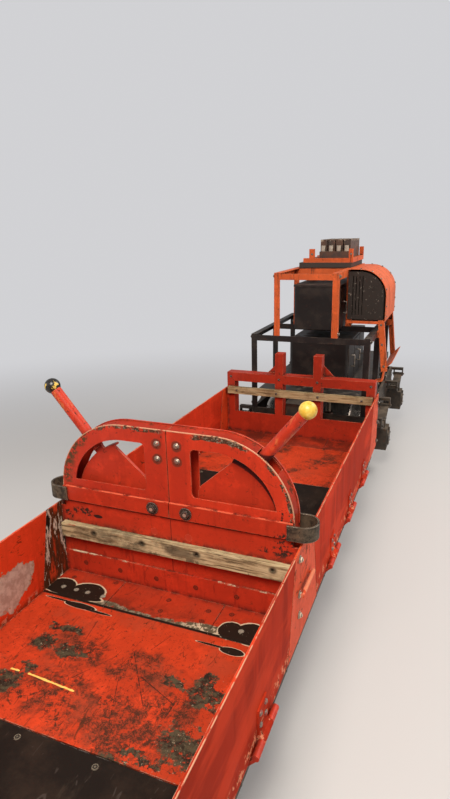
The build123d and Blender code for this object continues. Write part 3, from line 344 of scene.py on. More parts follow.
def painted(name, colour, wear=0.5, grime_and_shade=0.5, chip=PALE_ORANGE, rough=0.46, gloss=0.26):
    """Brushed paint on steel plate: uneven tone, faint runs, chipped edges, scratches, grime, and painted
    shade in corners.
    """
    paint = Finish(name, colour, rough, gloss=gloss)
    paint.add(noise(2.2, 3).step(0.36, 0.66), shade(colour, 0.82))
    paint.add(noise(11, 6, 0.7).step(0.48, 0.66) * 0.8, shade(colour, 1.16), rough - 0.06)
    paint.add(noise(60, 4, 0.7).step(0.5, 0.66) * 0.35, shade(colour, 0.72))
    runs = noise(24, 5, 0.65, stretched((1, 1, 0.07)))
    paint.add(runs.step(0.53, 0.68) * 0.4, shade(colour, 0.55), rough + 0.1)
    paint.raise_by(noise(170, 3, 0.5), 0.14)
    paint.raise_by(noise(8, 2, 0.5), 1)
    for turn, scale in (((0.3, 0.2, 0.4), 20), ((1.2, 0.5, 2.1), 15), ((0.2, 1.4, 1.1), 26)):
        paint.add(scratches(scale, turn) * wear, shade(RUST, 0.5), 0.6, -0.05)
    dirty = spots(85, 0.15) * noise(7, 4).step(0.46, 0.62)
    paint.add(dirty * grime_and_shade, GRIME_AND_SHADE, 0.7)
    chips = spots(42, 0.06, 0.02) * noise(5, 3).step(0.52, 0.6)
    paint.add(chips * wear, shade(RUST, 0.45), 0.7, -0.15)
    # Painted shade and grime: the dark grime colour laid in corners and under overhangs, broken up by
    # noise.
    corner = crevice(0.03) * noise(30, 5, 0.65).step(0.34, 0.58)
    paint.add(corner * grime_and_shade, GRIME_AND_SHADE, 0.75)
    paint.add(edges(0.007, 34, 0.42) * wear, shade(RUST, 0.55), 0.65, -0.12)
    paint.add(edges(0.0035, 16, 0.66) * wear, chip, 0.5, -0.08)
    return paint


def on_face(*rows, y=0):
    """Ellipses on a face across the car, from rows of x, z and their radii across and up."""
    return [((x, y, z), (across, 0.2, up)) for x, z, across, up in rows]


def divider_red():
    """The divider's plates: a crinkled brown band inside the curved edge, pits beside the hoops, and a
    painted highlight along the curved edge.
    """
    paint = painted("divider_red", shade(RED, 1.1), 0.55, 0.6)
    # The left half and a stile right of the middle are painted darker.
    left = X.step(0.02, -0.02)
    stile = between(X, 0.01, 0.085, 0.02)
    paint.add(left.either(stile) * 0.35, DEEP_RED)
    reach = from_shoulder() + wander(42, 0.007)
    broad = blob(on_face((0.225, 1.115, 0.12, 0.045)), 0.1, 14).step(1.1, 0.95) * reach.step(0.287, 0.29)
    aside = on_face((0.46, 0.97, 0.075, 0.15), (-0.2, 1.13, 0.19, 0.03))
    slim = blob(aside, 0.1, 14).step(1.1, 0.95) * reach.step(0.294, 0.2965) * spots(30, 0.7, 0.05)
    band = broad.either(slim) * AHEAD
    crinkle = spots(110, 0.44, 0.04, 6, 0.75, 1.2)
    brown = mix(crinkle, shade(RUST, 0.55), shade(CREAM, 0.4))
    paint.add(band * spots(40, 0.8, 0.05), brown, 0.8, -0.25)
    smudged = on_face((-0.47, 0.98, 0.06, 0.15), (-0.42, 1.07, 0.06, 0.05))
    smudge = blob(smudged, 0.2, 12).step(1.15, 0.85) * reach.step(0.25, 0.292)
    pits = spots(48, 0.6, 0.05, 8, 0.75) * smudge * AHEAD
    paint.add(pits, (0.085, 0.045, 0.018), 0.8, -0.2)
    freckles = spots(70, 0.2, 0.03) * reach.step(0.262, 0.29) * AHEAD
    paint.add(freckles, shade(GRIME_AND_SHADE, 1.8), 0.75, -0.15)
    stained = on_face(*((x, z, 0.025, 0.025) for x in (-DOME_BOLT_X, DOME_BOLT_X) for z in DOME_BOLTS_Z))
    rings = blob(stained, 0.1, 40).step(1, 0.84) * AHEAD
    paint.add(rings * 0.75, (0.1, 0.03, 0.015), 0.7)
    # Painted highlight: a pale line along the curved front edge, broken up like worn paint.
    lip_highlight = from_shoulder().step(0.3066, 0.3074) * spots(22, 0.74, 0.06) * AHEAD
    paint.add(lip_highlight * 0.85, (0.68, 0.34, 0.2), 0.55)
    low = abs(X).step(0.4, 0.47) * between(Z, 0.78, 0.9, 0.03)
    paint.add(low * spots(44, 0.3, 0.04), GRIME_AND_SHADE, 0.75, -0.1)
    return paint


def lever_red():
    """The levers: the plates rub grey at their edges, and the tubes are streaked along their length. Their
    lower parts inside the divider and the right sector's flange are painted dark as shade.
    """
    paint = painted("lever_red", shade(RED, 0.97), 0.7, 0.5)
    tube = Z.step(1.1, 1.12)
    streaks = noise(30, 5, 0.65, stretched((1, 1, 0.25)))
    paint.add(tube * streaks.step(0.5, 0.6) * 0.7, (0.6, 0.15, 0.045), 0.5)
    paint.add(tube * spots(50, 0.22, 0.03) * 0.85, shade(GRIME_AND_SHADE, 1.5), 0.7)
    # Painted shade: the sectors' lower parts, inside the divider, darkened nearly to black.
    paint.add(Z.step(0.8, 0.74) * 0.8, shade(GRIME_AND_SHADE, 2), 0.8)
    # Painted shadow: the right sector's flange, deep inside the divider, painted dark maroon.
    rim = from_axis(SECTOR_X, SECTOR_Z).step(SECTOR_RADIUS - 0.003, SECTOR_RADIUS + 0.001)
    right_flange_shadow = rim * Z.step(1.088, 1.08) * X.step(0, 0.02)
    paint.add(right_flange_shadow, (0.07, 0.006, 0.004), 0.7)
    return paint


def panel_red():
    """The lower panels and bars: dark runs and grease beside the hoops, painted highlights along the top
    edges, and painted shadow under the beam and in a half-moon dent.
    """
    paint = painted("panel_red", shade(RED, 0.9), 0.6, 0.8)
    greasy = on_face(
        (-0.42, 0.725, 0.065, 0.022), (0.47, 0.745, 0.05, 0.06),
        (0.4, 0.712, 0.045, 0.014), (-0.5, 0.7, 0.025, 0.045),
    )
    worn = blob(greasy, 0.3, 24).step(1.15, 0.75) * spots(58, 0.5, 0.08)
    paint.add(worn, shade(GRIME_AND_SHADE, 1.5), 0.7, -0.1)
    drips = noise(34, 5, 0.7, stretched((1, 1, 0.16)))
    paint.add(Z.step(0.62, 0.54) * drips.step(0.55, 0.62) * 0.5, shade(DEEP_RED, 0.6), 0.6)
    # Painted highlight along the top edge of the strip.
    pale = between(Z, STRIP_TOP - 0.0035, STRIP_TOP + 0.0015, 0.001) * spots(14, 0.45)
    paint.add(pale, shade(CREAM, 0.9), 0.55)
    # Painted highlight along the top edge of the beam.
    beam_edge_highlight = between(Z, BEAM_TOP - 0.0015, BEAM_TOP + 0.003, 0.0008) * spots(18, 0.55)
    paint.add(beam_edge_highlight, (0.72, 0.13, 0.06), 0.5)
    # Painted shadow: a dark line just under the beam's foot.
    groove = between(Z, BEAM_FOOT - 0.0095, BEAM_FOOT - 0.005, 0.0008) * spots(30, 0.8, 0.1)
    paint.add(groove * 0.8, shade(GRIME_AND_SHADE, 1.5), 0.7)
    seam = abs(X).step(0.002, 0.001) * between(Z, STRIP_TOP + 0.002, BEAM_FOOT - 0.011)
    paint.add(seam * 0.85, (0.03, 0.006, 0.004), 0.8)
    # Painted shade: a dark half-moon where the panel is dented.
    dent_shade = blob(on_face((-0.347, 0.713, 0.022, 0.008), y=-0.04), 0.05, 60).step(1.08, 0.92)
    paint.add(dent_shade, (0.032, 0.008, 0.006), 0.7, -0.8)
    return paint


def rim_red():
    """The closing rims: worn dark on top where hands and straps go over them."""
    paint = painted("rim_red", shade(RED, 0.66), 0.8, 0.5, gloss=0.06)
    top = from_shoulder().step(0.3, 0.304) * spots(24, 0.34, 0.06)
    paint.add(top * 0.8, shade(RUST, 0.6), 0.65, -0.1)
    return paint


def corner_red():
    """The fixed corner plates: the left one is rusted through its paint beside the near bay, and the grab
    rods carry a painted highlight.
    """
    paint = painted("corner_red", (0.76, 0.082, 0.022), 0.8, 0.7, gloss=0.06)
    near_left = X.step(-0.45, -0.5) * between(Y, -0.6, -0.03, 0.02)
    streak = noise(19, 6, 0.72, stretched((1, 1, 0.2)))
    paint.add(near_left * streak.step(0.4, 0.48), shade(RUST, 0.85), 0.8, -0.25)
    paint.add(near_left * streak.step(0.535, 0.55), (0.76, 0.68, 0.54), 0.7, 0.1)
    paint.add(near_left * streak.step(0.59, 0.605), GRIME_AND_SHADE, 0.8)
    near_right = X.step(0.45, 0.5) * Z.step(0.6, 0.72)
    paint.add(near_right * spots(26, 0.4, 0.05) * 0.8, shade(RUST, 0.6), 0.7, -0.2)
    # Painted highlight: the grab rod standing out from the wall is painted pale.
    rod_highlight = abs(X).step(wall_outer + 0.007, wall_outer + 0.01)
    paint.add(rod_highlight * spots(24, 0.72, 0.08) * 0.8, shade(PALE_ORANGE, 1.1), 0.55)
    return paint


def flap_red(name, colour, outer_share, bare_patch=None):
    """A flap: faded paint with a painted highlight along its top edge, painted shade on its outer face,
    and on one flap a large patch scraped to the metal.
    """
    paint = painted(name, colour, 0.8, 0.5, shade(CREAM, 0.9), 0.62, gloss=0.02)
    outer = abs(X).step(FLAP_OUTER - 0.0015, FLAP_OUTER - 0.0005)
    bands = noise(9, 5, 0.65, stretched((1, 1, 0.12), (0.25, 0, 0)))
    # Painted shade: the outer face takes its own tone and goes darker towards the car's ends; the streaky
    # bands on it are weathering.
    paint.add(outer * 0.9, shade(RED, outer_share))
    paint.add(outer * bands.step(0.48, 0.6), shade(RED, outer_share * 0.72))
    paint.add(outer * abs(Y).step(0.5, 1) * 0.6, shade(RED, outer_share * 0.55))
    low = Z.step(0.62, 0.42) * noise(5, 4).step(0.36, 0.6)
    paint.add(low * 0.45, DEEP_RED, 0.62)
    wipes = noise(7, 4, 0.6, stretched((1, 0.25, 1), (0.5, 0, 0)))
    paint.add(wipes.step(0.5, 0.66) * 0.6, (0.74, 0.06, 0.018), 0.56)
    hinge = Z.step(0.455, 0.43) * spots(28, 0.42, 0.04)
    paint.add(hinge * 0.85, shade(PALE_ORANGE, 1.1), 0.6, 0.1)
    paint.add(hinge * spots(60, 0.34, 0.03), GRIME_AND_SHADE, 0.75)
    # Painted highlight: a pale line along the top of the outer face.
    lip_highlight = Z.step(FLAP_TOP - 0.0035, FLAP_TOP - 0.002) * spots(20, 0.74, 0.08)
    lip_highlight *= abs(X).step(FLAP_OUTER - 0.0035, FLAP_OUTER - 0.0025)
    paint.add(lip_highlight * 0.85, (0.62, 0.33, 0.2), 0.6)
    if bare_patch:
        inside = X.step(0.002 - FLAP_OUTER, 0.005 - FLAP_OUTER)
        outline = blob(bare_patch, 0.05, 20, warped(7, 0.22))
        whole = outline.step(1.1, 1.02) * inside
        paint.add(outline.step(1.18, 1.1) * inside, shade(CREAM, 0.75), 0.6)
        grey = mix(noise(26, 6, 0.7).step(0.4, 0.62), (0.5, 0.36, 0.28), (0.7, 0.57, 0.46))
        paint.add(whole, grey, 0.6, -0.3)
        paint.add(whole * spots(70, 0.12, 0.03) * 0.6, (0.14, 0.09, 0.06), 0.6)
    return paint


def on_floor(*rows):
    """Ellipses on the floor, from rows of x, y and their radii in millimetres."""
    sizes = [[part / 1000 for part in row] for row in rows]
    return [((x, y, floor_top), (across, along, 1)) for x, y, across, along in sizes]


# Marks on the near bay's floor in millimetres: x, y, and radii across and along the car
TREAD_MARKS = on_floor(
    (-475, -165, 60, 50),
    (-345, -165, 75, 55),
    (-400, -195, 140, 22),
    (305, -178, 45, 45),
    (385, -170, 62, 55),
    (360, -205, 90, 20),
    (-320, -252, 70, 15),
    (-230, -262, 60, 6),
    (-420, -245, 70, 5),
    (350, -278, 45, 17),
    (270, -272, 60, 5),
)
BARE_MARKS = on_floor(
    (-285, -383, 65, 22),
    (-345, -360, 18, 8),
    (-313, -470, 50, 35),
    (-190, -487, 55, 25),
    (-288, -592, 30, 22),
    (-320, -675, 50, 45),
    (215, -480, 20, 22),
    (265, -492, 50, 8),
    (340, -485, 60, 45),
    (315, -430, 20, 35),
    (360, -690, 70, 60),
    (220, -765, 60, 12),
    (280, -770, 40, 15),
    (160, -790, 30, 10),
)
SCUFFED = on_floor(
    (-118, -660, 170, 120),
    (163, -690, 190, 120),
    (91, -468, 150, 75),
    (-200, -460, 160, 95),
    (250, -600, 130, 110),
)

# Lines on it in millimetres: start x and y, end x and y, and half width. The strokes are yellow paint.
LONG_SCRATCHES = (
    (109, -498, 263, -562, 2.2),
    (263, -562, 260, -619, 1.8),
    (-199, -306, -182, -409, 1.6),
    (108, -283, 74, -372, 1.6),
    (20, -400, 180, -610, 1.4),
    (0, -440, 110, -700, 1.2),
    (-60, -420, -220, -520, 1.2),
    (-30, -450, -150, -640, 1.3),
)
YELLOW_STROKES = ((-264, -619, -73, -629), (-337, -622, -306, -620))


def floor_red(name):
    """The bay floor: bright paint, scuffed dark by the containers' castors and worn through in places."""
    paint = painted(name, FLOOR_RED, 0.6, 0.8, shade(CREAM, 0.8), 0.55, gloss=0.12)
    far = noise(4.5, 4, 0.6).step(0.5, 0.6) * Y.step(-0.01, 0)
    outline = blob(SCUFFED, 0.3, 9, warped(6, 0.3))
    zone = far.either(NEAR * outline.step(1.25, 0.6))
    smear = spots(13, 0.66, 0.14, 8, 0.78)
    pits = spots(42, 0.44, 0.04, 6, 0.8, 0.8)
    short = spots(95, 0.56, 0.05, 4, 0.75, 1.5)
    paint.add(zone * smear * 0.6, (0.13, 0.036, 0.018), 0.65)
    paint.add(zone * (smear * short).either(pits) * 0.9, (0.04, 0.02, 0.011), 0.65, -0.08)
    grain = spots(6, 0.7, 0.15) * spots(60, 0.3, 0.03, 8, 0.78, 0.8)
    paint.add(grain * 0.8, (0.06, 0.018, 0.011), 0.6)
    flecks = noise(3.5, 3).step(0.36, 0.52) * spots(95, 0.28, 0.03, 5, 0.78)
    paint.add(flecks * 0.85, (0.04, 0.015, 0.009), 0.6)
    paint.add(noise(5, 5, 0.7).step(0.5, 0.62) * 0.45, (0.34, 0.055, 0.024), 0.6)
    for turn, scale in ((0.9, 13), (-0.5, 10), (2.2, 17), (1.5, 21)):
        lines = scratches(scale, (0, 0, turn), 0.007, 0.2, 0.55)
        paint.add(lines * 0.7, shade(RUST, 0.5), 0.6, -0.05)
    return paint


def wear_marks(paint):
    """Places worn through the paint beside the divider: a cream fringe round the black below."""
    outline = blob(TREAD_MARKS, 0.05, 20) + wander(60, 0.03)
    paint.add(NEAR * outline.step(1.15, 1.11), shade(CREAM, 0.95), 0.6)
    paint.add(NEAR * outline.step(1.06, 1), shade(GRIME_AND_SHADE, 0.9), 0.5, -0.4)
    chips = NEAR * outline.step(0.98, 0.88) * spots(90, 0.13, 0.03)
    paint.add(chips, shade(CREAM, 0.55), 0.6)


def bare_marks(paint):
    """Ragged places where the paint has gone down to an olive undercoat, with flecks of cream in them."""
    outline = blob(BARE_MARKS, 0.4, 30, warped(15, 0.16)) + wander(75, 0.25)
    olive = mix(noise(34, 6, 0.75).step(0.4, 0.6), shade(GRIME_AND_SHADE, 1.2), shade(OLIVE, 1.35))
    gone = NEAR * outline.step(1.25, 0.95) * spots(50, 0.8, 0.08, 8, 0.8)
    paint.add(gone, olive, 0.6, -0.3)
    flecks = NEAR * outline.step(1.4, 1.05) * spots(100, 0.17, 0.03, 4, 0.7)
    paint.add(flecks, shade(CREAM, 0.62), 0.6)


def bay_floor_finish():
    """The bays' red plates, with a stroke of yellow paint in the near one."""
    paint = floor_red("floor_red")
    bare_marks(paint)
    wear_marks(paint)
    for *line, width in LONG_SCRATCHES:
        distance = stroke(*line) + wander(24, 0.0014)
        mask = distance.step(width * 0.0012, width * 0.0005) * spots(26, 0.84, 0.1)
        paint.add(mask * 0.85, shade(GRIME_AND_SHADE, 1.2), 0.6, -0.1)
    for line in YELLOW_STROKES:
        stripe = (stroke(*line) + wander(50, 0.002)).step(0.0045, 0.003) * spots(45, 0.9, 0.06)
        paint.add(stripe, (0.92, 0.58, 0.14), 0.5)
    seam = abs(Y).step(SEAM_Y, SEAM_Y - 0.0015) * spots(30, 0.84)
    paint.add(seam * 0.9, shade(GRIME_AND_SHADE, 1.1), 0.7)
    return paint


def transition_finish():
    """The plates beside the divider, scraped to grey metal along their joint with the floor."""
    paint = floor_red("transition_red")
    paint.add(0.4, DEEP_RED)
    middle = abs(Y).step(0.4, 0.38)
    away = abs(Y) + wander(13, 0.022)
    soiled = away.step(0.115, 0.19) * spots(9, 0.8, 0.2)
    paint.add(soiled * 0.65, (0.13, 0.02, 0.01), 0.65)
    strip = away.step(0.197, 0.204) * between(X, -0.3, 0.47, 0.06)
    broad = on_floor((225, -205, 95, 30), (-225, -210, 70, 22))
    strip = strip.either(blob(broad, 0.16, 24).step(1.1, 0.9)) * middle
    light = mix(X.step(0.05, 0.18), shade(CREAM, 0.42), shade(CREAM, 0.95))
    grey = mix(spots(52, 0.5, 0.05), (0.11, 0.09, 0.055), light)
    paint.add(strip * spots(30, 0.84, 0.06), grey, 0.5, -0.2)
    rubbed = abs(Y).step(0.1, 0.19) * spots(50, 0.34, 0.05, 8, 0.75, 0.8)
    paint.add(rubbed * 0.75, shade(RUST, 0.45), 0.65)
    wear_marks(paint)
    joint = abs(Y).step(SEAM_Y - 0.015, SEAM_Y - 0.0135) * middle * spots(22, 0.9, 0.06)
    paint.add(joint, GRIME_AND_SHADE, 0.8)
    return paint


def dark_plate():
    """The plain steel plates in the bays' middles: black-brown with worn patches."""
    plate = Finish("dark_plate", (0.011, 0.007, 0.005), 0.75, gloss=0.12)
    plate.add(noise(5, 6, 0.7).step(0.42, 0.66), (0.025, 0.015, 0.01), 0.8)
    plate.add(spots(22, 0.35, 0.2) * 0.5, (0.012, 0.009, 0.008), 0.6)
    brushed = noise(18, 5, 0.7, stretched((1, 0.3, 1)))
    plate.add(brushed.step(0.56, 0.7) * 0.45, (0.045, 0.032, 0.022), 0.75)
    for turn, scale in ((0.7, 16), (-0.9, 12)):
        plate.add(scratches(scale, (0, 0, turn)) * 0.35, (0.09, 0.07, 0.06), 0.6, -0.05)
    plate.raise_by(noise(120, 4, 0.6), 0.18)
    plate.add(edges(0.004, 30, 0.5) * 0.6, BARE_STEEL, 0.45, metallic=0.4)
    return plate


def weathered_timber():
    """Grey-beige planks: grain along the plank, stains, and smears of the plates' red."""
    wood = Finish("weathered_timber", (0.35, 0.255, 0.13), 0.8, 0, 0.003, gloss=0.2)
    grain = noise(9, 7, 0.7, stretched((0.8, 12, 12)), 0.5)
    wood.add(grain.step(0.42, 0.58), (0.6, 0.5, 0.29))
    wood.add(grain.step(0.45, 0.37) * 0.85, (0.07, 0.05, 0.028))
    wood.raise_by(grain, 0.9)
    wood.add(noise(5, 6, 0.7).step(0.48, 0.66) * 0.7, (0.105, 0.08, 0.045), 0.85)
    cracks = noise(5, 3, 0.6, stretched((0.5, 20, 20)))
    split = abs(cracks - 0.5).step(0.01, 0.004)
    wood.add(split * noise(3, 2).step(0.5, 0.55), (0.03, 0.02, 0.012), 0.9, -1)
    holes = on_face(*((x, BATTEN_HOLE_Z, 0.016, 0.014) for x in BATTEN_HOLES_X), y=-0.07)
    wood.add(blob(holes, 0.12, 30).step(1.4, 0.6) * 0.8, (0.03, 0.02, 0.013), 0.9)
    stain = blob(on_face((0.06, 0.64, 0.075, 0.026), y=-0.06), 0.3, 18).step(1.3, 0.5)
    wood.add(stain * 0.7, (0.04, 0.026, 0.016), 0.9)
    wood.add(abs(Y).step(1, 1.1) * 0.35, (0.34, 0.2, 0.08))
    lower = Z.step(0.63, 0.612) * spots(16, 0.38, 0.05)
    wood.add(lower * 0.7, (0.06, 0.04, 0.024), 0.85)
    smear = edges(0.01, 18, 0.4) * spots(12, 0.4)
    wood.add(smear * 0.8, shade(RED, 0.8), 0.6)
    return wood


def strap_iron():
    """The hoops: black-brown strap, pitted, with bright edges where ropes rub."""
    iron = Finish("strap_iron", (0.105, 0.075, 0.046), 0.6, 0.3)
    iron.add(noise(28, 7, 0.75).step(0.46, 0.6), (0.034, 0.025, 0.016), 0.7)
    iron.add(spots(34, 0.36, 0.05, 6, 0.75) * 0.8, (0.018, 0.013, 0.009), 0.65)
    iron.add(spots(60, 0.28, 0.03) * 0.8, (0.16, 0.105, 0.058), 0.75)
    iron.add(spots(110, 0.16, 0.03) * 0.7, (0.26, 0.2, 0.13), 0.7)
    iron.add(edges(0.003, 20, 0.75), (0.46, 0.38, 0.29), 0.38, metallic=0.7)
    iron.raise_by(noise(80, 6, 0.7), 0.5)
    return iron


def worn_to_steel(metal):
    """Grime and painted shade round a bolt's foot, and bright edges on its head."""
    metal.add(crevice(0.01) * 0.9, GRIME_AND_SHADE, 0.75, metallic=0)
    metal.add(edges(0.002, 60, 0.8), (0.6, 0.53, 0.45), 0.32, metallic=0.8)


def bolt_metal(name, paint_share, colour=(0.24, 0.19, 0.15)):
    """Bolt heads that were painted over and worn back to steel."""
    metal = Finish(name, colour, 0.42, 0.7, 0.0008)
    metal.add(spots(90, 0.4, 0.1), shade(colour, 0.3), 0.6, metallic=0.3)
    if paint_share:
        metal.add(spots(60, paint_share, 0.05), shade(RED, 0.8), 0.45, 0.15, 0)
    worn_to_steel(metal)
    return metal


def screw_paint(name, colour, groove):
    """Countersunk screws: flat heads in the plate's own finish, with another colour in their grooves;
    where that colour is dark it is painted shade.
    """
    screw = Finish(name, colour, 0.5, 0, 0.0004, gloss=0.26)
    screw.add(spots(80, 0.3, 0.1), shade(colour, 0.6), 0.6)
    screw.add(crevice(0.004, 0.7, 0.98), groove, 0.8)
    return screw


def divider_bolt_metal():
    """Bright worn nuts above the beam, grimy ones on it, and red pivot pins below it."""
    metal = Finish("bolt_divider", (0.3, 0.235, 0.18), 0.42, 0.6, 0.0008)
    metal.add(spots(90, 0.36, 0.1), (0.09, 0.065, 0.05), 0.6, metallic=0.3)
    metal.add(spots(60, 0.24, 0.05), shade(RED, 0.8), 0.45, 0.15, 0)
    beam = between(Z, 0.74, 0.86, 0.002)
    reach = from_axis(BEAM_BOLT_X, BEAM_BOLT_Z)
    metal.add(beam * reach.step(0.007, 0.01) * 0.9, shade(RUST, 0.25), 0.75, metallic=0.1)
    metal.add(beam * reach.step(0.008, 0.006), (0.5, 0.42, 0.33), 0.4, metallic=0.5)
    worn_to_steel(metal)
    metal.add(Z.step(0.73, 0.725), shade(RED, 0.85), 0.5, metallic=0)
    return metal


def ball_yellow():
    """The right ball: yellow gloss, gone dull and soiled, with painted shade where it meets the lever's
    tube.
    """
    ball = Finish("ball_yellow", (0.74, 0.45, 0.045), 0.38)
    ball.add(noise(26, 5, 0.65).step(0.45, 0.66), (0.86, 0.6, 0.11), 0.34)
    ball.add(spots(60, 0.32, 0.08) * 0.7, (0.42, 0.22, 0.03), 0.5)
    ball.add(spots(150, 0.08, 0.03) * 0.8, (0.12, 0.06, 0.02), 0.6)
    ball.add(crevice(0.03) * 0.8, (0.2, 0.1, 0.02), 0.6)
    return ball


def ball_black():
    """The left ball: yellow paint left in patches over black."""
    ball = Finish("ball_black", (0.018, 0.015, 0.012), 0.28)
    patches = noise(19, 5, 0.65, stretched(shift=(0.31, 0.12, 0.05))).step(0.515, 0.535)
    ball.add(patches, (0.74, 0.5, 0.09), 0.4, 0.3)
    ball.add(spots(120, 0.12), (0.3, 0.22, 0.1), 0.6)
    return ball


def greasy_black():
    """Truck ironwork: black grease with brake dust on what faces up."""
    iron = Finish("greasy_black", (0.034, 0.027, 0.021), 0.55, gloss=0.35)
    iron.add(noise(8, 6, 0.7).step(0.42, 0.62), (0.075, 0.055, 0.039), 0.68)
    dust = upward(0.3, 0.9) * noise(18, 5).step(0.36, 0.62)
    iron.add(dust * 0.8, (0.15, 0.115, 0.082), 0.88)
    iron.add(spots(30, 0.24) * 0.7, (0.11, 0.05, 0.024), 0.8)
    iron.add(spots(9, 0.3, 0.1) * spots(60, 0.4) * 0.6, shade(RED, 0.35), 0.7)
    iron.add(edges(0.004, 25, 0.5) * 0.7, (0.22, 0.18, 0.15), 0.45, metallic=0.5)
    iron.raise_by(noise(60, 6, 0.7), 0.7)
    return iron


def motor_iron():
    """The motors' castings: grey-brown, with painted shade in their hollows, and dusty on top."""
    iron = Finish("motor_iron", (0.07, 0.06, 0.05), 0.6)
    iron.add(noise(12, 6, 0.7).step(0.45, 0.62), (0.035, 0.028, 0.022), 0.5)
    iron.add(upward() * spots(16, 0.6, 0.2) * 0.8, (0.19, 0.15, 0.11), 0.9)
    iron.add(crevice(0.03) * 0.8, GRIME_AND_SHADE, 0.7)
    iron.raise_by(noise(90, 5, 0.65), 0.6)
    return iron


def wheel_steel(number):
    """A wheelset: rusty discs and axle, treads polished by the rail, and painted shade in its hollows."""
    steel = Finish(f"wheel_{number}", (0.085, 0.058, 0.04), 0.68, 0.3)
    steel.add(noise(14, 6, 0.7).step(0.44, 0.62), (0.045, 0.034, 0.027), 0.6)
    steel.add(spots(40, 0.28, 0.08), (0.15, 0.065, 0.03), 0.8)
    axle = tuple(middle_of(f"wheelset_{number}"))
    radius = length(vector("MULTIPLY", vector("SUBTRACT", PLACE, axle), (0, 1, 1)))
    tread = radius.step(0.243, 0.249) * noise(20, 4).step(0.3, 0.45)
    steel.add(tread, (0.55, 0.5, 0.45), 0.25, metallic=0.95)
    steel.add(crevice(0.04) * 0.8, GRIME_AND_SHADE, 0.7, metallic=0)
    steel.raise_by(noise(70, 5, 0.65), 0.3)
    return steel


def equipment_orange():
    """The power trucks' orange ironwork: faded, with dust on top and runs below the bolts."""
    paint = painted("equipment_orange", ORANGE, 0.75, 0.8, shade(PALE_ORANGE, 1.1))
    paint.add(upward() * spots(20, 0.5, 0.15) * 0.25, (0.22, 0.085, 0.04), 0.8)
    runs = noise(22, 6, 0.7, stretched((1, 1, 0.12)))
    paint.add(runs.step(0.56, 0.64) * 0.6, shade(RUST, 0.6), 0.65)
    return paint


def resistor_black():
    """The resistor grids: black iron with pale ceramic dust and specks."""
    grid = Finish("resistor_black", (0.034, 0.025, 0.02), 0.6, 0.2, gloss=0.3)
    grid.add(spots(30, 0.3, 0.1), (0.05, 0.03, 0.022), 0.8)
    grid.add(spots(38, 0.16, 0.02, 4, 0.8) * 0.9, (0.36, 0.31, 0.25), 0.7)
    grid.add(edges(0.003, 30, 0.5), (0.2, 0.16, 0.13), 0.5, metallic=0.6)
    return grid


def switch_brown():
    """The switchgear: brown moulded chutes, and white glazed insulators before them."""
    gear = Finish("switch_brown", (0.105, 0.048, 0.026), 0.4)
    gear.add(noise(16, 5).step(0.42, 0.62), (0.05, 0.028, 0.019), 0.5)
    gear.add(upward() * spots(30, 0.6, 0.2) * 0.6, (0.2, 0.15, 0.11), 0.85)
    tips = Z.step(1.755, 1.765) * spots(34, 0.45, 0.05)
    gear.add(tips, (0.42, 0.34, 0.25), 0.7)
    insulators = abs(Y).step(cradle_front + 0.070, cradle_front + 0.069) * between(Z, 1.686, 1.735, 0.001)
    gear.add(insulators, (0.45, 0.4, 0.32), 0.3)
    gear.add(Z.step(1.602, 1.598), (0.04, 0.026, 0.018), 0.55)
    gear.add(edges(0.003, 30, 0.5), (0.24, 0.15, 0.09), 0.45)
    return gear


def case_black():
    """The control cases and the lower frames: black enamel under dust, with paint spots."""
    case = Finish("case_black", (0.016, 0.013, 0.012), 0.42, gloss=0.35)
    case.add(noise(9, 5, 0.65).step(0.45, 0.65), (0.034, 0.025, 0.02), 0.5)
    case.add(upward() * spots(18, 0.6, 0.2) * 0.7, (0.13, 0.105, 0.08), 0.88)
    case.add(spots(26, 0.14, 0.03) * 0.7, (0.1, 0.03, 0.014), 0.6)
    case.add(edges(0.005, 25, 0.55), (0.12, 0.09, 0.07), 0.5)
    case.raise_by(noise(140, 3, 0.5), 0.15)
    return case


def collector_metal():
    """The current collectors: dark iron, with a shoe polished by the centre rail."""
    metal = Finish("collector_metal", (0.2, 0.15, 0.11), 0.5, 0.7)
    metal.add(spots(40, 0.45, 0.1), (0.07, 0.045, 0.03), 0.7, metallic=0.2)
    metal.add(Z.step(0.056, 0.05) * 0.9, (0.52, 0.4, 0.28), 0.28, metallic=0.95)
    metal.add(between(Z, 0.18, 0.29) * 0.9, (0.16, 0.055, 0.03), 0.25, metallic=0)
    return metal


# Fastener heads: radius and height of each ring in millimetres, and whether the ring is six-sided
HEADS = {
    "rivet": ((9.5, -0.5, 0), (9.2, 1.6, 0), (7.4, 4.2, 0), (4.3, 5.9, 0), (1.5, 6.5, 0)),
    "hex": (
        (15.5, -0.5, 0), (15.5, 2, 0), (14.8, 2.6, 0),
        (11, 2.6, 1), (11, 9, 1), (9.4, 10.2, 1),
        (5.2, 10.2, 0), (5.2, 13, 0), (4.2, 13.8, 0),
    ),
    "small": ((9, -0.5, 0), (9, 1.2, 0), (6.4, 1.2, 1), (6.4, 5.4, 1), (5.4, 6.2, 1)),
    "flush": (
        (11.5, -0.5, 0), (11.2, 0.6, 0), (9.6, 0.8, 0), (9.2, 0.1, 0),
        (8.2, 0.1, 0), (7.8, 0.9, 0), (3.4, 1, 0), (3.1, 0.3, 0),
    ),
}
RING_POINTS = 12


def ring(radius, height, six_sided):
    """Points of a round or a six-sided outline."""
    flat = math.cos(math.pi / 6) if six_sided else 1
    points = []
    for number in range(RING_POINTS):
        reach = radius * (flat if number % 2 else 1) / 1000
        turn = math.tau * number / RING_POINTS
        points.append(Vector((reach * math.cos(turn), reach * math.sin(turn), height / 1000)))
    return points


def add_object(name, data):
    made = bpy.data.objects.new(name, data)
    bpy.context.scene.collection.objects.link(made)
    return made


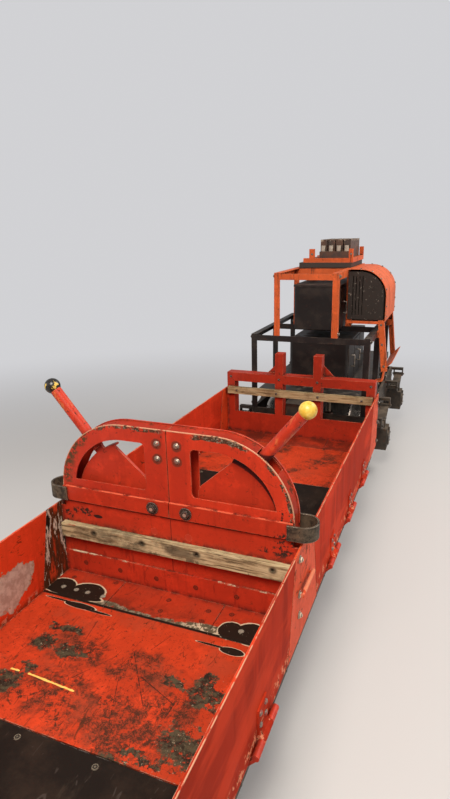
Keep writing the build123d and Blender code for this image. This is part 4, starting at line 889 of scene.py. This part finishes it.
def add_piece(name, data, finish, body):
    """A piece beside the CAD's own, with its finish, that rides on a body."""
    data.materials.append(finish.material)
    piece = add_object(name, data)
    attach(piece, body)


def heads(name, kind, seats, finish, body):
    """Fastener heads of one kind, joined into one piece. A seat is a place and the way the head faces."""
    rings = [ring(*row) for row in HEADS[kind]]
    points, faces = [], []
    for place, facing in seats:
        turn = Vector((0, 0, 1)).rotation_difference(Vector(facing)).to_matrix()
        start = len(points)
        for row in rings:
            points += [turn @ point + Vector(place) for point in row]
        for level in range(start, len(points) - RING_POINTS, RING_POINTS):
            for number in range(RING_POINTS):
                low, after = level + number, level + (number + 1) % RING_POINTS
                faces.append((low, after, after + RING_POINTS, low + RING_POINTS))
        faces.append(tuple(reversed(range(start, start + RING_POINTS))))
        faces.append(tuple(range(len(points) - RING_POINTS, len(points))))
    mesh = bpy.data.meshes.new(name)
    mesh.from_pydata(points, [], faces)
    add_piece(name, mesh, finish, body)


def grip(name, points, radius, finish, body):
    """A bent round bar through the points, such as a door handle."""
    curve = bpy.data.curves.new(name, "CURVE")
    curve.dimensions = "3D"
    curve.bevel_depth = radius
    curve.bevel_resolution = 2
    curve.use_fill_caps = True
    line = curve.splines.new("POLY")
    line.points.add(len(points) - 1)
    for target, point in zip(line.points, points):
        target.co = (*point, 1)
    add_piece(name, curve, finish, body)


def around(middle, radius, count, facing_x, start=45):
    """Seats on a circle round an axle's line."""
    seats = []
    for number in range(count):
        turn = math.radians(start + 360 * number / count)
        reach = Vector((0, radius * math.cos(turn), radius * math.sin(turn)))
        seats.append((Vector(middle) + reach, (facing_x, 0, 0)))
    return seats


# Screws: x, and distance from the middle of the car where they are in the floor
FLOOR_SCREWS = (
    (0.002, 0.168), (0.182, 0.168), (-0.464, 0.095), (-0.266, 0.069),
    (0.002, 0.095), (0.182, 0.103), (0.276, 0.091), (0.464, 0.095),
)
BARE_SCREWS = [(x, 0.168) for x in (-0.464, -0.399, -0.342, -0.266, 0.344)]
PLATE_SCREWS = list(product((-0.4, -0.123, 0.154, 0.431), (0.835, 1.115)))
STRIP_SCREWS_X = (-0.43, -0.255, -0.079, 0.102, 0.28, 0.45)


def centre_fasteners():
    """Screws, bolts and rivets of the centre body, the near ones where the photograph shows them."""
    # The painted and bare screws' grooves get the dark grime colour as painted shade.
    painted_ring = screw_paint("ring_painted", shade(FLOOR_RED, 0.42), GRIME_AND_SHADE)
    bare_ring = screw_paint("ring_bare", (0.34, 0.3, 0.23), GRIME_AND_SHADE)
    plate_ring = screw_paint("ring_dark", (0.02, 0.015, 0.011), (0.3, 0.25, 0.18))
    dark_bolt = bolt_metal("bolt_dark", 0.12, (0.075, 0.058, 0.045))
    pale_nut = screw_paint("nut_pale", (0.66, 0.56, 0.42), GRIME_AND_SHADE)
    body = "centre_body"
    for end, way in ENDS:
        up, ahead, back = (0, 0, 1), (0, way, 0), (0, -way, 0)
        rings = [((x, way * y, floor_top), up) for x, y in FLOOR_SCREWS]
        rings += [((x, way * strip_face, 0.475), ahead) for x in STRIP_SCREWS_X]
        bare = [((x, way * y, floor_top), up) for x, y in BARE_SCREWS]
        plates = [((x, way * y, floor_top), up) for x, y in PLATE_SCREWS]
        panels = [((x, way * 1.88, 0.74), back) for x in (-0.45, -0.15, 0.15, 0.45)]
        panels += [((x, way * 1.91, 0.8365), back) for x in (-0.504, -0.138, 0.138, 0.504)]
        places = product((-0.46, -0.34, 0.34, 0.46), (0.3, 0.39))
        rivets = [((x, way * headstock_face, z), ahead) for x, z in places]
        heads(f"ring_screws_{end}", "flush", rings, painted_ring, body)
        heads(f"bare_screws_{end}", "flush", bare, bare_ring, body)
        heads(f"plate_screws_{end}", "flush", plates, plate_ring, body)
        heads(f"panel_bolts_{end}", "small", panels, dark_bolt, body)
        heads(f"headstock_rivets_{end}", "rivet", rivets, dark_bolt, body)
    for side, way in SIDES:
        out = (way, 0, 0)
        rivets = [((way * solebar_face, -1.92 + 0.16 * number, 0.295), out) for number in range(25)]
        places = product((-2.02, 2.02), (0.42, 0.56, 0.7))
        corners = [((way * wall_outer, y, z), out) for y, z in places]
        nuts = [((way * wall_outer, -way * 0.078, z), out) for z in (0.486, 0.575, 0.722)]
        heads(f"solebar_rivets_{side}", "rivet", rivets, dark_bolt, body)
        heads(f"corner_bolts_{side}", "hex", corners, dark_bolt, body)
        heads(f"corner_nuts_{side}", "hex", nuts, pale_nut, body)


def flap_fasteners():
    """Rivets that hold each flap to its hinge straps."""
    head = bolt_metal("flap_rivet", 0.55)
    for side, across in SIDES:
        for end, along in ENDS:
            seats = []
            for strap, (aside, z) in product((-0.455, 0, 0.455), product((-0.024, 0.024), (0.435, 0.478))):
                y = along * (flap_middle + strap) + aside
                seats.append(((across * strap_face, y, z), (across, 0, 0)))
            heads(f"strap_rivets_{side}_{end}", "rivet", seats, head, f"flap_{side}_{end}")


def truck_seats():
    """Seats on the truck at the far end: its sides, its round covers, and its lower and upper frames."""
    motor_y, motor_z = axle_places[1].y - 0.268, axle_places[1].z + 0.02
    plain, covers, frames, orange = [], [], [], []
    for way in (-1, 1):
        out = (way, 0, 0)
        for y in (truck_start + 0.04, truck_start + 0.075, truck_end - 0.075, truck_end - 0.04):
            plain += [((way * truck_side, y, z), out) for z in (0.39, 0.44, 0.49)]
        for offset in (-0.085, -0.03, 0.03, 0.085):
            plain += [((way * truck_side, truck_middle + offset, z), out) for z in (0.4, 0.45)]
        for axle in axle_places:
            covers += around((way * box_cover, axle.y, axle.z), 0.046, 4, way)
        covers += around((way * 0.237, motor_y, motor_z), 0.088, 8, way, 22.5)
        covers += [((way * 0.08, truck_end + 0.012, z), (0, 1, 0)) for z in (0.393, 0.47)]
        for y in (truck_start + 0.022, truck_start + 0.574, truck_start + 1.126):
            frames += [((way * truck_side, y, z), out) for z in (deck_low + 0.035, deck_low + 0.11, 1.08)]
            post = post_left if way < 0 else post_right
            orange += [((post, y, z), out) for z in (1.125, frame_high - 0.025)]
    return plain, covers, frames, orange


def hood_seats():
    """Seats along the hood's two bands, on its struts and on the switchgear's cradle."""
    seats = []
    for y in (hood_start + 0.018, hood_end - 0.018):
        for turn in (math.radians(degrees) for degrees in (15, 40, 65, 90)):
            facing = Vector((math.cos(turn), 0, math.sin(turn)))
            seats.append((Vector((0.3, y, 1.364)) + 0.2 * facing, tuple(facing)))
        seats += [((0.5, y, z), (1, 0, 0)) for z in (1.215, 1.29)]
    seats += [((x, hood_start, z), (0, -1, 0)) for x, z in ((0.472, 1.15), (0.486, 1.000), (0.508, 0.83))]
    seats += [((x, cradle_front, 1.665), (0, -1, 0)) for x in (-0.121, 0.189)]
    return seats


# Door handles of the control cases: x of the door's face, height, and the way that it faces
DOORS = ((-0.237, 0.83, -1), (0.237, 0.83, 1), (-0.21, 1.26, -1), (0.155, 1.26, 1))
DOOR_PITCH = 0.2573
HANDLE_STAND, HANDLE_HALF, HANDLE_RADIUS = 0.026, 0.045, 0.006


def truck_fasteners():
    """Bolts, rivets and handles of both trucks; the second truck is the first turned half round."""
    dark = bolt_metal("truck_bolt", 0, (0.085, 0.07, 0.055))
    worn = bolt_metal("frame_bolt", 0, (0.2, 0.16, 0.12))
    plain, covers, frames, orange = truck_seats()
    groups = (
        ("side_rivets", "rivet", plain, dark, "truck_black"),
        ("cover_bolts", "small", covers, worn, "truck_black"),
        ("lower_frame_bolts", "hex", frames, dark, "case_black"),
        ("upper_frame_bolts", "hex", orange, worn, "equipment_orange"),
        ("hood_bolts", "small", hood_seats(), worn, "equipment_orange"),
    )
    for end, way in ENDS:
        body = f"truck_{end}"
        turn = Matrix.Diagonal((way, way, 1))
        for name, kind, seats, finish, slot in groups:
            turned = [(turn @ Vector(place), turn @ Vector(facing)) for place, facing in seats]
            heads(f"{name}_{end}", kind, turned, finish, body)
        for number, (face, z, out) in enumerate(DOORS):
            foot, stand = face - out * 0.002, face + out * HANDLE_STAND
            low, high = z - HANDLE_HALF, z + HANDLE_HALF
            for door in range(3):
                y = truck_middle - 0.1 + (door - 1) * DOOR_PITCH
                bent = (foot, y, low), (stand, y, low), (stand, y, high), (foot, y, high)
                points = [turn @ Vector(point) for point in bent]
                grip(f"door_handle_{end}{number}{door}", points, HANDLE_RADIUS, worn, body)


def make_camera():
    yaw, tilt, roll = (math.radians(angle) for angle in (CAMERA_YAW, CAMERA_TILT, CAMERA_ROLL))
    ahead = Vector((math.sin(yaw) * math.cos(tilt), math.cos(yaw) * math.cos(tilt), -math.sin(tilt)))
    level = Vector((math.cos(yaw), -math.sin(yaw), 0))
    drop = ahead.cross(level)
    right = math.cos(roll) * level + math.sin(roll) * drop
    up = math.sin(roll) * level - math.cos(roll) * drop
    data = bpy.data.cameras.new("camera")
    data.lens = CAMERA_LENS
    data.clip_start = 0.05
    data.clip_end = 200
    camera = add_object("camera", data)
    camera.matrix_world = Matrix((right, up, -ahead)).transposed().to_4x4()
    camera.location = CAMERA_PLACE
    bpy.context.scene.camera = camera


# Lamps: name, place, target, width, power and colour
LAMPS = (
    ("key", (0.6, -2.7, 4.7), (0, -0.2, 0.6), 2.4, 250, (1, 0.93, 0.84)),
    ("fill", (-4.2, -2.8, 3.4), (0, 0.4, 0.6), 3.4, 30, (1, 0.96, 0.92)),
    ("back", (3.4, 3.6, 4.4), (0.2, 1.8, 0.7), 3, 200, (1, 0.95, 0.9)),
)


def make_lights():
    """A warm key from above the near right, a broad fill from the left, and one over the far end."""
    for name, place, target, width, power, colour in LAMPS:
        data = bpy.data.lights.new(name, "AREA")
        data.shape = "DISK"
        data.size = width
        data.energy = power
        data.color = colour
        lamp = add_object(name, data)
        lamp.location = place
        lamp.rotation_euler = (Vector(target) - Vector(place)).to_track_quat("-Z", "Y").to_euler()


def make_surroundings():
    """A plain pale floor that fades into a world of the same brightness."""
    world = bpy.data.worlds.new("world")
    tree = Tree(world)
    strength = Value("MapRange", {"Value": SEEN, "To Min": SKY_LIGHT, "To Max": SKY_SEEN})
    tree.fill(tree.nodes["Background"], {"Color": SKY_COLOUR, "Strength": strength})
    bpy.context.scene.world = world

    reach = 90
    corners = [(-reach, -reach, 0), (reach, -reach, 0), (reach, reach, 0), (-reach, reach, 0)]
    mesh = bpy.data.meshes.new("floor")
    mesh.from_pydata(corners, [], [(0, 1, 2, 3)])
    surface = Finish("studio_floor", (0.6, 0.59, 0.58), 0.8).material
    tree = Tree(surface)
    plain = tree.nodes["Principled BSDF"].outputs[0]
    fade = length(PLACE).step(2.6, 7.5) * SEEN
    glow = Value("Emission", {"Color": SKY_COLOUR, "Strength": SKY_SEEN})
    blend = Value("MixShader", {0: fade, 1: plain, 2: glow})
    tree.fill(tree.nodes["Material Output"], {"Surface": blend})
    mesh.materials.append(surface)
    add_object("floor", mesh)


def both(*names):
    """The same nodes of both trucks."""
    return [f"{name}_{end}" for name in names for end in "ab"]


def dress_all():
    """Gives the CAD's nodes their finishes."""
    patch = ((-0.44, 0.53, 0.15, 0.06), (-0.36, 0.56, 0.1, 0.045))
    scraped = [((-FLAP_INNER, y, z), (0.2, along, up)) for y, z, along, up in patch]
    looks = [
        (painted("body_red", RED), "hinge_butts"),
        (painted("bulkhead_red", shade(RED, 0.72), 0.8, 0.8), "bulkheads"),
        (divider_red(), "divider_plates"),
        (lever_red(), "quadrant_right", "quadrant_left"),
        (panel_red(), "divider_panels"),
        (rim_red(), "divider_rims"),
        (corner_red(), "corner_plates"),
        (flap_red("flap_red", RED, 1), "flap_right_a", "flap_left_a"),
        # The near right flap is a darker copy of the flap paint, as painted shade.
        (flap_red("flap_dark", shade(RED, 0.74), 0.85), "flap_right_b"),
        (flap_red("flap_scraped", (0.86, 0.075, 0.022), 0.9, scraped), "flap_left_b"),
        (bay_floor_finish(), "floor_plates"),
        (transition_finish(), "transition_plates"),
        (dark_plate(), "centre_floor_plates"),
        (weathered_timber(), "battens"),
        (strap_iron(), "hoops"),
        (divider_bolt_metal(), "divider_bolts"),
        (ball_yellow(), "ball_right"),
        (ball_black(), "ball_left"),
        (
            greasy_black(), "solebars", "cross_members", "headstocks", "pivot_beams",
            *both("truck_frame", "running_gear", "brake_gear", "coupler"),
        ),
        (motor_iron(), *both("motor")),
        (equipment_orange(), *both("upper_frame", "hood", "switch_cradle")),
        (resistor_black(), *both("resistors")),
        (switch_brown(), *both("switchgear")),
        (case_black(), *both("control_case", "lower_frame")),
        (collector_metal(), *both("collector")),
    ]
    looks += [(wheel_steel(number), f"wheelset_{number}") for number in ("a1", "a2", "b1", "b2")]
    for finish, *names in looks:
        for name in names:
            mesh = nodes[name].data
            mesh.materials.clear()
            mesh.materials.append(finish.material)


make_camera()
make_lights()
make_surroundings()
dress_all()
centre_fasteners()
flap_fasteners()
truck_fasteners()

bpy.context.scene.view_settings.view_transform = "Standard"
